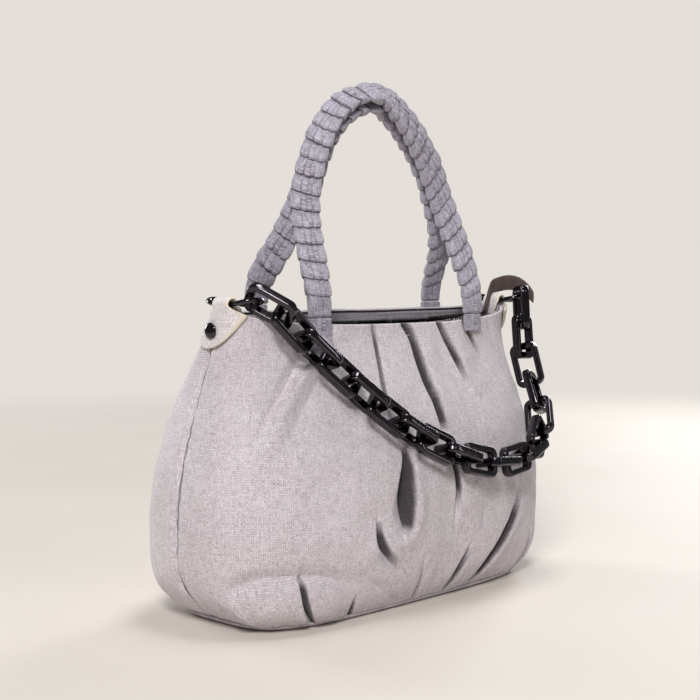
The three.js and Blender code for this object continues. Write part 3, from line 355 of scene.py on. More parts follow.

# %% [markdown]
# Lining and zip tape are a thin brown twill. Its ribs are too fine for a mesh, so they are one slanted
# sine that tilts the surface and paints a shade in each groove, with uneven dye over it, and a soft gloss.
# Nobody comes near enough to count its yarns.

# %% Lining and tape


def twill(name, base, shade, pitch=0.0007):
    """Slanted ribs from one sine of u + v, as a bump and as a painted shade in their grooves, with uneven dye from
    noise.
    """
    n = Nodes(name)
    uv = n.add("ShaderNodeUVMap", uv_map="cloth").outputs[0]
    parts = n.add("ShaderNodeSeparateXYZ", {"Vector": uv}).outputs
    rib = n.sine(n.over(n.plus(parts[0], parts[1]), pitch), 2 * np.pi)
    # the rib darkens the tone in its grooves, a painted shade; the noise is uneven dye
    tone = n.plus(n.times(rib, 0.15), n.noise(uv, 60, 3))
    n.shade({"Base Color": n.ramp(tone, [(0.25, shade), (0.75, base)]), "Normal": n.bump(rib, 0.4, 0.0001),
             "Roughness": 0.55, "Sheen Weight": 0.15})
    return n.material


lining_cloth = twill("lining_twill", colour(88, 66, 60), colour(52, 38, 36))
tape_cloth = twill("tape_twill", colour(74, 56, 52), colour(44, 33, 32), 0.0009)
print("twills:", lining_cloth.name, tape_cloth.name)

# %% [markdown]
# Chain, rings, rivets and zip are dark plated metal. A perfect mirror would look drawn, so faint smears
# vary its gloss and fine dents bend its reflections.

# %% Plated metal


def plated(name, base, roughness):
    """Near-black metal: noise from 0.3 to 0.7 takes the colour from 0.7 of the base up to the base, and moves
    the roughness by 0.06 either way."""
    n = Nodes(name)
    place = n.add("ShaderNodeTexCoord").outputs["Object"]
    smear = n.noise(place, 160, 4, 0.6)
    n.shade({"Base Color": n.ramp(smear, [(0.3, tuple(c * 0.7 for c in base)), (0.7, base)]),
             "Roughness": n.math("MULTIPLY_ADD", smear, 0.12, roughness - 0.06),
             "Normal": n.bump(n.noise(place, 420, 2), 0.12, 0.0002),
             "Metallic": 1.0, "Coat Weight": 0.4, "Coat Roughness": 0.06})
    return n.material


gunmetal = plated("gunmetal", colour(66, 61, 67), 0.13)
zip_metal = plated("zip_metal", colour(96, 88, 84), 0.32)
print("metals:", gunmetal.name, zip_metal.name)

# %% [markdown]
# ## The shape of the shell
# At every height the bag is a rounded oblong. It swells from the base to the belly and closes to the
# mouth, which leans forward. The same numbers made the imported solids, so the fine surface lies on them.

# %% Shell surface
RIM, SEAM, BELLY, BASE_TOP = 214.0, 4.3, 57.0, 4.0     # heights in mm
# sizes at the base, at the belly and at the rim, in mm, and the power of the oblong there
LENGTHS, FRONTS, BACKS, POWERS = (286, 350, 294), (66, 82, 44), (60, 77, 6), (4.2, 2.9, 3)
FRONT_DIP, BACK_DIP = 12, 2             # how far the rim sinks in the middle of each side
GIRTH_SHARE = 0.36                      # share of the height at which places round the bag are measured


def smooth(x):
    """0 below 0, 1 above 1 and an even S between them: 3 x squared less 2 x cubed."""
    x = np.clip(x, 0, 1)
    return x * x * (3 - 2 * x)


def unit(v):
    """Each vector divided by its own length."""
    return v / np.maximum(np.linalg.norm(v, axis=-1, keepdims=True), 1e-9)


def run_length(points):
    """The length of the way from the first point to each point: the distances between neighbours, added up."""
    return np.concatenate([[0], np.cumsum(np.linalg.norm(np.diff(points, axis=0), axis=1))])


def outline(height):
    """Half length, half depth, middle and power of the oblong at a height, each eased from base to belly to mouth."""
    low = np.clip((height - BASE_TOP) / (BELLY - BASE_TOP), 0, 1)
    high = np.clip((height - BELLY) / (RIM - BELLY), 0, 1)
    swell = 1 - (1 - low) ** 2.8

    def eased(sizes, share):
        """From the base's size to the belly's by the swell, and from there to the rim's by the share."""
        return mix(mix(sizes[0], sizes[1], swell), sizes[2], share)

    half_length = eased(LENGTHS, smooth(high ** 1.15)) / 2
    front, back = eased(FRONTS, smooth(high ** 1.4)), eased(BACKS, high ** 2.3)
    return half_length, (front + back) / 2, (back - front) / 2, eased(POWERS, high)


def oblong_reach(c, s, power):
    """How far a rounded oblong of half size 1 lies from its middle in the direction (c, s): the sum of both sizes
    to the power, to the power of minus one over it."""
    return (np.abs(c) ** power + np.abs(s) ** power) ** (-1 / power)


def shell(turn, t, out=0.0):
    """A point of the plain shell: turn in degrees from the left end over the front, t from seam to rim, out in mm."""
    height = SEAM + t * (RIM - SEAM)
    half_length, half_depth, middle, power = outline(height)
    c, s = np.cos(np.radians(turn)), np.sin(np.radians(turn))
    reach = oblong_reach(c, s, power)
    dip = np.where(s > 0, FRONT_DIP, BACK_DIP) * (reach * s) ** 2
    return np.stack([-(half_length + out) * reach * c, middle - (half_depth + out) * reach * s,
                     height - dip * t * t], -1)


def shell_frame(turn, t):
    """Unit vectors along the bag, and square out of the plain shell, from the points a little to each side."""
    along = unit(shell(turn + 0.2, t) - shell(turn - 0.2, t))
    up = shell(turn, np.minimum(t + 0.004, 1.0)) - shell(turn, np.minimum(t + 0.004, 1.0) - 0.008)
    return along, unit(np.cross(along, up))


girth_turns = np.linspace(0, 360, 3601)
girth = run_length(shell(girth_turns, np.full(3601, GIRTH_SHARE)))
print(f"girth at the belly {girth[-1]:.0f} mm")


def girth_place(turn):
    """Where a turn lies along the bag's girth, in mm."""
    return np.interp(turn, girth_turns, girth)


# %% [markdown]
# ## Pleats and folds
# Each pleat is a tuck held in the rim's seam: the cloth runs flat up to it, dives into a narrow valley,
# and comes up on the other side as a puff that leans over. On its way down the tuck lets go, and the slack
# cloth breaks into wider folds over the base. So a fold is a line on the shell whose depth, puff and left
# flank change along it. The lines were laid along the real folds.

# %% Fold lines
# Points of a fold: turn, height, depth, puff on its right, width of its left flank.
# After them: width of its right flank, reach of the puff, puff on its left, and how far the puff leans over.
FOLDS = [
    ([(78.3, 210, 0, 0, 2), (79.2, 202, 4, 1, 2), (80, 190, 5.4, 1.4, 2.2), (79.6, 172, 4.4, 1.4, 2.4),
      (78.4, 158, 4.6, 1.8, 2.6), (78, 146, 4.6, 1.8, 3), (78.2, 130, 0, 0, 4)], 1.5, 7, 0.5, 0.6),
    ([(88.6, 210, 0, 0, 2), (91, 202, 6, 2.6, 2), (93.4, 195, 10, 4.4, 2.4), (94.3, 187, 12, 5.2, 2.6),
      (94.6, 173, 12, 5.4, 3), (95.1, 159, 12, 5, 3.4), (96.3, 145, 10, 3.6, 3.6), (96.5, 132, 6, 1.6, 4),
      (96.4, 120, 0.5, 0, 5)], 2.7, 8.5, 0.6, 1.2),
    ([(104.4, 211, 0, 0, 2), (106.6, 202, 6, 2.6, 2), (108.4, 192, 8.6, 3.6, 2.2), (110, 180, 7.4, 3.2, 2.6),
      (111.3, 169, 4.6, 2.6, 3), (112, 158, 2, 1.8, 4), (112.6, 142, 0, 0.8, 4)], 2.1, 8.5, 0.6, 0.8),
    ([(116.4, 211, 0, 0, 2), (118.6, 202, 6, 2.4, 2), (120.6, 191, 6, 2.2, 2.2), (122.6, 179, 2.4, 1.4, 3),
      (124.5, 164, 0, 0.6, 4)], 1.9, 8, 0.5, 0.6),
    ([(66, 206, 0, 0, 3), (63.5, 196, 2.2, 0.6, 3), (60, 184, 1.6, 0.4, 4), (57, 174, 0, 0, 5)], 2.4, 8, 0.8,
      0.4),
    ([(57.5, 198, 0, 0, 9), (54.8, 189, 1.6, 0, 9), (51.2, 175, 2.6, 0, 9), (47.2, 160, 3, 0, 9),
      (43.5, 147, 3, 0, 8), (39.5, 129, 2.6, 0, 8), (36, 113, 1.6, 0, 8), (33, 96, 0, 0, 8)], 5, 8, 0, 0.0),
    ([(79.4, 119, 0.5, 0, 2), (80.1, 112, 5, 2, 3), (80.5, 104, 9, 4.6, 6), (80.3, 94, 11.5, 5.4, 11),
      (80, 80, 11.5, 5.6, 16), (79.5, 68, 8, 4.8, 18), (78.4, 58, 2, 2, 14), (77, 50, 0, 0, 10)], 2.3, 6.5, 0,
      0.8),
    ([(70, 72, 0.5, 0, 2), (70.7, 64, 4, 1, 4), (71.6, 54, 6.5, 2.4, 7), (73.2, 45, 6, 2.4, 7),
      (75.6, 35, 2.4, 1, 5), (78, 27, 0, 0, 4)], 1.8, 6, 0.6, 1.6),
    ([(64, 36, 0, 0, 5), (66.2, 32, 1.8, 0.6, 6), (70, 24, 2.6, 0.8, 6), (75, 12, 1.6, 0.4, 5),
      (78, 5, 0, 0, 5)], 4, 7, 0.6, 0.0),
    ([(96.6, 118, 0, 0, 2), (96.8, 109, 7.5, 2, 2.4), (97.1, 97, 9, 2.8, 2.6), (97.5, 85, 6, 2.4, 2.8),
      (97, 72, 2.4, 1.8, 3), (96.4, 56, 0.5, 0.8, 4), (96, 44, 0, 0, 4)], 1.8, 7, 1.2, 0.6),
    ([(123.4, 74, 0, 0.6, 3), (122.4, 66, 2.4, 1.6, 3), (121.2, 59, 4.6, 2.6, 3), (119, 51, 6.4, 3.2, 3.4),
      (117, 44, 7.6, 3.6, 3.6), (114.8, 36, 8.6, 3.6, 4), (112.2, 26, 8.6, 3.4, 4), (110.8, 18, 7, 2.8, 4),
      (110, 8, 3, 1, 3)], 2.2, 5.5, 1.2, 0.8),
    ([(103.4, 42, 0, 0, 3), (102, 34, 3, 1.2, 3), (100.5, 27, 5, 2, 3), (99.2, 19, 5.4, 2, 3),
      (98.7, 8, 3.6, 1, 3)], 2, 6, 0.8, 0.4),
    ([(24, 20, 0, 0, 3), (27.2, 26, 2.6, 0, 4), (31.2, 32, 4.6, 0, 4), (36.8, 37, 5.4, 0.4, 4),
      (43.2, 39, 5.4, 0.6, 4), (49.8, 37.5, 5.4, 0.6, 4), (56.8, 35.5, 4.6, 0.6, 4), (61.6, 30, 2.4, 0, 4),
      (64.5, 24, 0, 0, 4)], 7, 16, 2.6, 0.0),
    ([(50, 35, 3, 0, 2), (50.1, 28, 7, 1.8, 2.4), (50.4, 19, 9, 2.8, 2.6), (50.9, 10, 9, 2.4, 2.6),
      (51.2, 3, 4, 1, 2.4)], 1.9, 4, 2.6, 0.8),
    ([(64.4, 20, 0, 0, 1.6), (63.4, 13, 4.4, 1, 1.8), (62.4, 6, 7, 1.2, 2.2), (62, 2, 7, 1, 2.2)], 1.3, 4, 1.2,
      0.8),
    ([(130, 206, 0, 0, 4), (134, 186, 1.8, 1.2, 4), (137, 160, 1.4, 1, 5), (140, 130, 0, 0, 6)], 3.0, 9, 0.5,
      0.5),
    ([(85, 42, 0, 0, 3), (86, 24, 2.4, 1.2, 3), (85.6, 8, 2.6, 1.2, 3)], 2.0, 7, 1.0, 0.6),
    ([(131, 48, 0, 0, 3), (133, 26, 3, 1.6, 3), (132, 5, 2.6, 1.2, 3)], 2.0, 8, 1.2, 0.8),
    ([(152, 140, 0, 0, 8), (148, 100, 2, 1.6, 8), (143, 66, 2.4, 2, 8), (138, 34, 0, 0, 8)], 6.0, 14, 1.0, 0.3),
    ([(236, 208, 0, 0, 2), (237.4, 194, 4.6, 2.6, 2.4), (239.4, 170, 4.6, 2.6, 3), (240.6, 142, 2, 1, 4),
      (241, 122, 0, 0, 4)], 1.6, 8, 0.6, 2.0),
    ([(252, 208, 0, 0, 2), (252.8, 194, 6, 3.6, 2.6), (254.2, 168, 7.4, 4.4, 3.6), (255.4, 140, 4, 2, 4),
      (256, 112, 0, 0, 4)], 1.7, 8, 0.6, 2.8),
    ([(268, 208, 0, 0, 2), (268.2, 192, 5, 3, 2.4), (267.6, 166, 5.6, 3.2, 3), (266.8, 136, 2.6, 1.4, 4),
      (266.2, 110, 0, 0, 4)], 1.5, 8, 0.8, 2.2),
    ([(283, 208, 0, 0, 2), (282.2, 192, 4.4, 2.4, 2.4), (280.8, 166, 4, 2.4, 3), (279.6, 140, 1.4, 1, 4),
      (279, 122, 0, 0, 4)], 1.5, 8, 0.6, 1.8),
    ([(298, 208, 0, 0, 2), (296.4, 192, 3.4, 1.8, 2.2), (294, 172, 2.2, 1.4, 3), (292, 152, 0, 0.5, 4)], 1.4, 7,
      0.6, 1.4),
    ([(222, 207, 0, 0, 2), (225, 190, 3, 1.6, 2.4), (229, 170, 2, 1, 4), (232, 150, 0, 0, 4)], 1.6, 7, 0.6,
      1.2),
    ([(261.6, 112, 0, 0, 3), (261, 92, 4, 2.4, 6), (260, 70, 6, 3.6, 10), (258.6, 48, 3, 2, 8),
      (257.6, 34, 0, 0, 6)], 1.8, 8, 0, 1.6),
    ([(245.5, 92, 0, 0, 3), (243.4, 66, 3.6, 2.4, 4), (240.6, 40, 4.6, 2.6, 4), (238, 10, 3, 1.4, 3)], 1.7, 8,
      1.0, 1.4),
    ([(283, 88, 0, 0, 3), (285.6, 64, 3.4, 2, 4), (288, 36, 4.6, 2.6, 4), (290, 8, 3, 1.4, 3)], 1.7, 8, 1.0,
      1.4),
    ([(212, 150, 0, 0, 8), (218, 110, 2.2, 1.8, 8), (226, 70, 2.6, 2.2, 8), (232, 40, 0, 0, 8)], 6.0, 14, 1.0,
      0.3),
    ([(320, 176, 0, 0, 8), (314, 134, 2.4, 2, 8), (307, 96, 2.6, 2, 8), (300, 62, 0, 0, 8)], 6.0, 14, 1.6, 0.3),
    ([(270, 40, 0, 0, 3), (270, 24, 3.4, 1.6, 3), (270, 5, 3, 1, 3)], 1.6, 6, 1.4, 0.8),
    ([(306, 34, 0, 0, 2), (307, 20, 3.6, 1.6, 2.4), (307, 4, 4.4, 1.2, 2.4)], 1.4, 5, 1.6, 1.0),
    ([(224, 34, 0, 0, 2), (223, 20, 3.6, 1.6, 2.4), (223, 4, 4.4, 1.2, 2.4)], 1.4, 5, 1.6, 1.0),
]
print("folds:", len(FOLDS))

# %% [markdown]
# Between the tucks the slack cloth stands up in ridges and soft swells, and the chain presses it flat.
# They are far wider than the folds, so a few numbers each are enough.

# %% Crests, swells and the chain's line
# Crests without a tuck: turn, height and rise of each point, then the widths of the left and right slopes
CRESTS = [
    ([(61, 190, 0), (58.2, 181, 1.8), (52.5, 168, 3.8), (46.8, 152, 5), (42.5, 137, 5), (39.2, 122, 4),
      (36.5, 107, 2.2), (33.5, 88, 0)], 4, 8),
    ([(65, 184, 0), (59.5, 170, -1.8), (54, 154, -2.8), (49.5, 138, -2.4), (46, 120, 0)], 5, 10),
    ([(57, 190, 0), (53.5, 178, -1.4), (48, 164, -2), (42.5, 148, -2), (38.5, 133, -1.6), (35, 118, 0)], 9, 4),
    ([(83, 84, 0.5), (82.8, 68, 1.6), (81.4, 58, 2.4), (78.6, 51, 2.6), (75.8, 49, 2.2), (73.6, 53, 1),
      (72.6, 59, 0)], 5, 6),
    ([(24.5, 30, 0), (27.5, 25, 2.4), (30.2, 17, 3.4), (32.8, 9, 3.4), (36.2, 4, 2)], 5, 5),
    ([(104, 176, 0), (104.6, 164, 1.4), (105.6, 148, 1.8), (106.4, 132, 0.8), (107, 116, 0)], 8, 8),
]
# Soft swells and hollows: turn, height, reach along and up in mm, rise in mm
SWELLS = [
    (60, 58, 28, 20, 1.8), (40, 60, 30, 34, 1.2), (86, 172, 12, 24, 1.2), (101, 178, 10, 22, 1.4),
    (113, 178, 9, 20, 1.5), (89, 84, 12, 24, 2.6), (104, 84, 14, 24, 2.2), (116, 80, 14, 20, 1.6),
    (56.5, 17, 10, 9, 2.4), (42, 20, 14, 9, 2.6), (107.2, 55, 4, 6, -1.8), (66, 44, 14, 10, 1.4),
    (88, 48, 16, 14, 1.8), (262, 176, 12, 26, 2.0), (246, 172, 12, 26, 1.8), (275, 176, 11, 24, 1.6),
    (252, 70, 22, 24, 2.0), (276, 66, 22, 24, 2.4), (228, 60, 30, 28, 1.6), (312, 62, 30, 30, 1.6),
]
# the line that the chain takes over the front: turn and height
CHAIN_LINE = [
    (52.5, 206), (61.5, 182), (69, 157), (79, 131), (91, 114), (104, 102), (116, 100), (126, 107), (134.5, 124),
    (140, 141), (145, 184),
]
print("crests:", len(CRESTS), "swells:", len(SWELLS))

# %% [markdown]
# A line of points is first rounded off. Then every point of the cloth takes its signed distance from the
# line, and the depth and puff of the nearest place on it, and a profile over that distance gives its height.

# %% From lines to relief
FOLD_SPAN = 34                  # degrees of turn on each side within which a fold is worked out
PUFF_END, PUFF_FADE = 26, 7     # mm from a fold where its puff starts to end, and how fast it does
HIGHEST, LOWEST = 8, -12        # mm


def rounded(line):
    """The line with its corners cut three times over, which leaves a smooth curve with the same ends."""
    line = np.array(line, float)
    for _ in range(3):
        a, b = line[:-1], line[1:]
        inner = np.stack([0.75 * a + 0.25 * b, 0.25 * a + 0.75 * b], 1).reshape(-1, line.shape[1])
        line = np.concatenate([line[:1], inner[1:-1], line[-1:]])
    return line


def from_line(line, turn, height):
    """Signed distance in mm from a line of (turn, height, ...), positive on its right, and what else the line lists
    at the nearest place on it. Past its ends the distance grows from the end point, so the fold stops there."""
    line = rounded(line)
    line[:, 0] = girth_place(line[:, 0])
    x, z = girth_place(turn), height
    nearest = np.full(x.shape, 1e9)
    sign, values = np.ones(x.shape), np.zeros((line.shape[1] - 2, *x.shape))
    for start, end in zip(line[:-1], line[1:]):
        way = end[:2] - start[:2]
        length = np.hypot(*way)
        dx, dz = way / length
        reach = np.clip(((x - start[0]) * dx + (z - start[1]) * dz) / length, 0, 1)
        px, pz = x - start[0] - reach * way[0], z - start[1] - reach * way[1]
        far = np.hypot(px, pz)
        closer = far < nearest
        nearest = np.where(closer, far, nearest)
        sign = np.where(closer, np.where(-px * dz + pz * dx >= 0, 1, -1), sign)
        for k in range(len(values)):
            values[k] = np.where(closer, mix(start[2 + k], end[2 + k], reach), values[k])
    return nearest * sign, values


def wrinkles(x, z, seed, count, shortest, longest):
    """Soft random relief from -1 to 1: a sum of plane waves with random directions, lengths and phases."""
    draw = np.random.default_rng(seed)
    total = np.zeros(np.broadcast(x, z).shape)
    for _ in range(count):
        length = draw.uniform(shortest, longest)
        angle, phase = draw.uniform(0, np.pi), draw.uniform(0, 2 * np.pi)
        total += np.sin(2 * np.pi * (x * np.cos(angle) + z * np.sin(angle)) / length + phase)
    return total / np.sqrt(count) / 1.6


def puff(d, height, reach):
    """h (d/r) exp(1 - d/r): rises fast from 0 to h at distance r, and sinks slowly after it."""
    share = np.maximum(d, 0) / reach
    return height * share * np.exp(1 - share)


def relief(turn, height, inside=False):
    """Height of the cloth over the plain shell in mm, how far it leans along the bag, and how much painted shade it
    takes deep in a tuck.
    Left flank: a straight fall over its width with a rounded edge. Right flank: -depth exp(-(d/w)^2), and a puff.
    Inside is the looser relief of facing and lining: the same valleys, wider, and no puffs."""
    x = girth_place(turn)
    lift, lean, crease_shade = np.zeros(x.shape), np.zeros(x.shape), np.zeros(x.shape)
    for line, right_width, reach, left_puff, overlap in FOLDS:
        near = np.abs(turn - np.mean([p[0] for p in line])) < FOLD_SPAN
        d, (depth, right_puff, flank) = from_line(line, turn[near], height[near])
        if inside:
            flank, right_width = np.maximum(flank, 5.0), max(right_width, 5.0)
        fall = np.clip(1 - np.abs(d) / flank, 0, 1) ** 1.35
        valley = -depth * np.where(d < 0, fall, np.exp(-(d / right_width) ** 2))
        if not inside:
            here = np.exp(-(np.maximum(np.abs(d) - PUFF_END, 0) / PUFF_FADE) ** 2)
            share = depth / max(p[2] for p in line)
            valley = valley + here * (puff(d, right_puff, reach) + puff(-d - flank * 0.5, left_puff * share, reach))
            lean[near] -= overlap * share * np.exp(-((d - right_width) / (1.6 * right_width)) ** 2)
            # painted shade in the bottom of a narrow tuck, reaching past its line onto its right wall
            shade = np.where(d < 0, np.exp(-(d / 0.8) ** 2), 1 - smooth(d / right_width - 1.1))
            narrow = min(1, max(0, (4 - right_width) / 1.2))
            crease_shade[near] = np.maximum(crease_shade[near], shade * narrow * np.clip((depth - 1.5) / 4, 0, 1))
        lift[near] += valley
    for line, left_width, right_width in CRESTS:
        d, (rise,) = from_line(line, turn, height)
        lift += rise * np.exp(-np.abs(d / np.where(d < 0, left_width, right_width)) ** 1.4)
    for swell_turn, swell_height, wide, high, rise in SWELLS:
        across = (x - girth_place(swell_turn)) / wide
        lift += rise * np.exp(-across ** 2 - ((height - swell_height) / high) ** 2)
    lift += 0.9 * wrinkles(x, height, 3, 14, 46, 120)
    if inside:
        lift = np.minimum(lift, 0.4) - 0.4
    else:
        lift += 0.3 * wrinkles(x, height, 4, 16, 14, 34)
        near_base = np.exp(-np.maximum(height - 5, 0) / 13)
        lift += 0.7 * near_base * wrinkles(x, height * 0.2, 5, 10, 9, 24)
        pressed, _ = from_line(CHAIN_LINE, turn, height)
        press = np.exp(-(pressed / 11) ** 2)
        lift = np.where(lift > 0, lift * (1 - 0.85 * press), lift) - 0.4 * press
        for end_turn in (0, 180, 360):
            beside = np.abs(x - girth_place(end_turn))
            pucker = 0.3 * np.exp(-(beside / 8) ** 2) * np.sin(height / 1.9 + 2 * np.sin(height / 11))
            lift += pucker + 0.8 * np.exp(-((beside - 6) / 3.2) ** 2) - 1.7 * np.exp(-(beside / 2.8) ** 2)
    hold_base = smooth((height - 3) / 10)
    hold_rim = mix(0.4, 1, smooth((RIM - 3 - height) / 14))
    lift = np.clip(lift, LOWEST, HIGHEST)
    return lift * mix(0.45, 1, hold_base) * hold_rim, lean * hold_base, crease_shade


def cloth_point(turn, t, out=0.0, inside=False):
    """A point of the pleated bag: the shell's point moved square to it by the relief, and along it where a puff
    leans."""
    turn, t = np.broadcast_arrays(np.asarray(turn, float), np.asarray(t, float))
    along, outward = shell_frame(turn, t)
    lift, lean, _ = relief(turn, shell(turn, t)[..., 2], inside)
    return shell(turn, t, out) + outward * lift[..., None] + along * lean[..., None]


print("deepest listed tuck:", max(point[2] for line, *_ in FOLDS for point in line), "mm")

# %% [markdown]
# ## Front and back panels
# A panel is half of the shell. Its top edge is turned in over the facing, as a narrow rounded hem, and
# the sides of the two panels meet in a seam at each end of the bag. An even grid would need far more
# points to draw the tucks, so the columns crowd together wherever a fold crosses their row.

# %% Panels
HALVES = (("front", 0, 180), ("back", 180, 360))     # name, and turns of its two ends
PANEL_ROWS, PANEL_COLUMNS = 132, 556
PANEL_THICKNESS = 2.6
END_GAP = 0.09              # degrees of turn that each panel stays away from the end seam
# places round the half-round top edge
HEM_ANGLES = np.radians([18, 40, 65, 90, 115, 140, 162, 180])


def dress(obj, material):
    """Puts one material on a piece."""
    obj.data.materials.clear()
    obj.data.materials.append(material)
    return obj


def point_values(obj, name, values):
    """Stores one number for each point of a piece, under a name that its material can read."""
    obj.data.attributes.new(name, "FLOAT", "POINT").data.foreach_set("value", values.astype(np.float32))


def column_places(start, end, levels, columns, crowding):
    """Places along the girth in mm for a row of grid points at each level. The points crowd round every fold that
    crosses the row: their density is 1 + crowding exp(-(d/3.5)^2), summed up and divided into equal shares."""
    even = np.linspace(girth_place(start + END_GAP), girth_place(end - END_GAP), 3 * columns + 1)
    heights = SEAM + levels * (RIM - SEAM)
    density = np.ones((len(levels), len(even)))
    for line, *_ in FOLDS:
        line = rounded(line)
        line = line[np.argsort(line[:, 1])]
        if line[-1, 1] - line[0, 1] < 24 or not start < line[:, 0].mean() < end:
            continue
        place = np.interp(heights, line[:, 1], girth_place(line[:, 0]))
        present = smooth((heights - line[0, 1] + 14) / 14) * smooth((line[-1, 1] + 14 - heights) / 14)
        density += crowding * present[:, None] * np.exp(-((even[None] - place[:, None]) / 3.5) ** 2)
    total = np.cumsum(density, axis=1)
    total = (total - total[:, :1]) / (total[:, -1:] - total[:, :1])
    return np.stack([np.interp(np.linspace(0, 1, columns + 1), row, even) for row in total])


def turned_sheet(name, start, end, low, high, out, thickness, columns, rows, inside=False, lip=0):
    """A sheet over part of the shell between two turns and two shares of its height, with a half-round top edge.
    With a lip, that many mm below the top edge hang upright from it before the sheet goes back to the shell."""
    crowding = 0 if inside else 4
    radius = thickness / 2
    drop = radius / (RIM - SEAM)
    levels = np.linspace(low, high - drop, rows + 1)
    places = column_places(start, end, levels, columns, crowding)
    turns = np.interp(places, girth, girth_turns)
    grid_t = levels[:, None] + 0 * turns
    flat = cloth_point(turns, grid_t, out, inside)
    _, top_out = shell_frame(turns[-1], np.full(columns + 1, high - drop))
    top_out = unit(top_out * [1, 1, 0])
    top = flat[-1][None] - top_out[None] * (radius * (1 - np.cos(HEM_ANGLES)))[:, None, None]
    top[..., 2] += (radius * np.sin(HEM_ANGLES))[:, None]
    outer = np.concatenate([flat, top])
    inner_levels = np.linspace(low, high - 2.4 * drop, (len(outer) + 1) // 2)
    inner_places = column_places(start, end, inner_levels, columns, crowding)[:, ::2]
    inner_turns = np.interp(inner_places, girth, girth_turns)
    inner_t = inner_levels[:, None] + 0 * inner_turns
    _, outward = shell_frame(inner_turns, inner_t)
    inner = cloth_point(inner_turns, inner_t, out, inside) - outward * thickness
    if lip:
        for grid, edge_y in ((outer, flat[-1, :, 1]), (inner, inner[-1, :, 1].copy())):
            share = smooth((grid[..., 2] - (RIM - 2 - lip)) / 4)
            share *= np.sin(np.radians(np.linspace(0, 180, share.shape[1]))) ** 0.5
            grid[..., 1] = np.where(grid[..., 1] > edge_y, mix(grid[..., 1], edge_y, share), grid[..., 1])
    v = np.concatenate([levels * (RIM - SEAM), levels[-1] * (RIM - SEAM) + radius * HEM_ANGLES])
    across = np.concatenate([places, np.repeat(places[-1:], len(HEM_ANGLES), 0)])
    sheet = close_sheet(name, outer, inner, np.stack([across, v[:, None] + 0 * across], -1) * MM)
    # the painted shade of the tucks, fading out round the hem; the inner face takes none
    _, _, crease_shade = relief(turns, shell(turns, grid_t)[..., 2], inside)
    crease_shade = np.concatenate([crease_shade, crease_shade[-1:] * np.linspace(1, 0, len(HEM_ANGLES))[:, None]])
    point_values(sheet, "crease_shade", np.append(crease_shade, np.zeros(inner[..., 0].size)))
    return sheet


for side, start, end in HALVES:
    panel = turned_sheet(f"{side}_panel_cloth", start, end, 0, 1, 0, PANEL_THICKNESS, PANEL_COLUMNS, PANEL_ROWS)
    dress(panel, shell_cloth.material)
    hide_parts(f"{side}_panel")
    print(panel.name, len(panel.data.polygons), "faces")

# %% [markdown]
# ## Facings and lining
# Inside the mouth a strip of the outer cloth, the facing, is sewn behind the rim, and the brown lining
# hangs from it. Both follow the pleats of their panel, so nothing pokes through it. Only the top of the
# back facing hangs upright from the rim, as a loose strip would, so that it faces the mouth.

# %% Facings and lining
INSIDE = -3.7            # mm from the panel's outer face to the facing and lining
LIPS = {"front": 0, "back": 13}
for side, start, end in HALVES:
    facing = turned_sheet(f"{side}_shaded_facing_cloth", start, end, 0.84, 0.997, INSIDE, 1.2, 240, 36, inside=True,
                          lip=LIPS[side])
    dress(facing, shaded_facing_cloth.material)
    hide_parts(f"{side}_facing")
    lining = turned_sheet(f"{side}_lining_cloth", start, end, 0.023, 0.838, INSIDE, 1.0, 200, 80, inside=True)
    dress(lining, lining_cloth)
    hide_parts(f"{side}_lining")
    print(facing.name, lining.name)

# %% [markdown]
# ## Base
# The base is a flat oblong of the same cloth over a stiff board. Its edge turns up to meet the panels
# in a seam. A box with a bevel would miss the oblong's curve, so the profile of that edge is carried
# round the oblong and closed in the middle.

# %% Base


def circle(count, shift=0.0):
    """Even angles once round, in radians, moved on by a share of one step."""
    return np.linspace(0, 2 * np.pi, count, endpoint=False) + shift * 2 * np.pi / count


def oblong(inset, z, count):
    """The base's outline moved in by inset, at height z."""
    half_length, half_depth, middle, power = outline(np.array(BASE_TOP))
    c, s = np.cos(circle(count)), np.sin(circle(count))
    reach = oblong_reach(c, s, power)
    return np.stack([-(half_length - inset) * reach * c, middle - (half_depth - inset) * reach * s,
                     np.full(count, z)], -1)


def base_slab(name, profile, count, material, node):
    """A closed slab: the profile is a list of (inset, height) from the middle of its underside to that of its top."""
    rings = np.stack([oblong(inset, z, count) for inset, z in profile])
    middle = outline(np.array(BASE_TOP))[2]
    rings[[0, -1]] = rings[[0, -1]] * [1e-4, 0, 1] + [0, middle, 0]
    faces = grid_quads(len(profile), count, wrap=True)
    flat_uv = rings[..., :2].reshape(-1, 2) * MM
    obj = build(name, rings, [faces], [flat_uv[faces]])
    dress(obj, material)
    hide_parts(node)
    print(name, len(faces), "faces")


edge = [(7 * (1 - np.sin(a)), BASE_TOP * (1 - np.cos(a))) for a in np.radians(np.linspace(0, 90, 9))]
under = [(i, 0.0) for i in (62, 50, 36, 22, 12)]
over = [(i, BASE_TOP) for i in (2, 8, 20, 36, 50, 62)]
base_slab("base_cloth", under + edge + over, 280, shell_cloth.material, "base_panel")
lining_profile = ([(i, 7.0) for i in (62, 40, 20, 8)] + [(6.2, 7.05), (6.0, 7.5), (6.3, 7.95)]
                  + [(i, 8.0) for i in (9, 20, 40, 62)])
base_slab("base_lining_cloth", lining_profile, 200, lining_cloth, "base_lining")

board = Nodes("board")
grain = board.noise(board.add("ShaderNodeTexCoord").outputs["Object"], 300, 4)
board.shade({"Base Color": board.ramp(grain, [(0.3, colour(70, 64, 60)), (0.7, colour(92, 86, 80))]),
             "Roughness": 0.8})
dress(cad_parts["base_board"], board.material)

# %% [markdown]
# ## Zip
# The zip is open, so each tape stands along the inside of its facing with a row of metal teeth on its
# edge. Towards the right the tapes come together at the slider, and the closed end is bound as a tail.
# The tapes are worked out from the shell like the facings, so that they keep beside them.

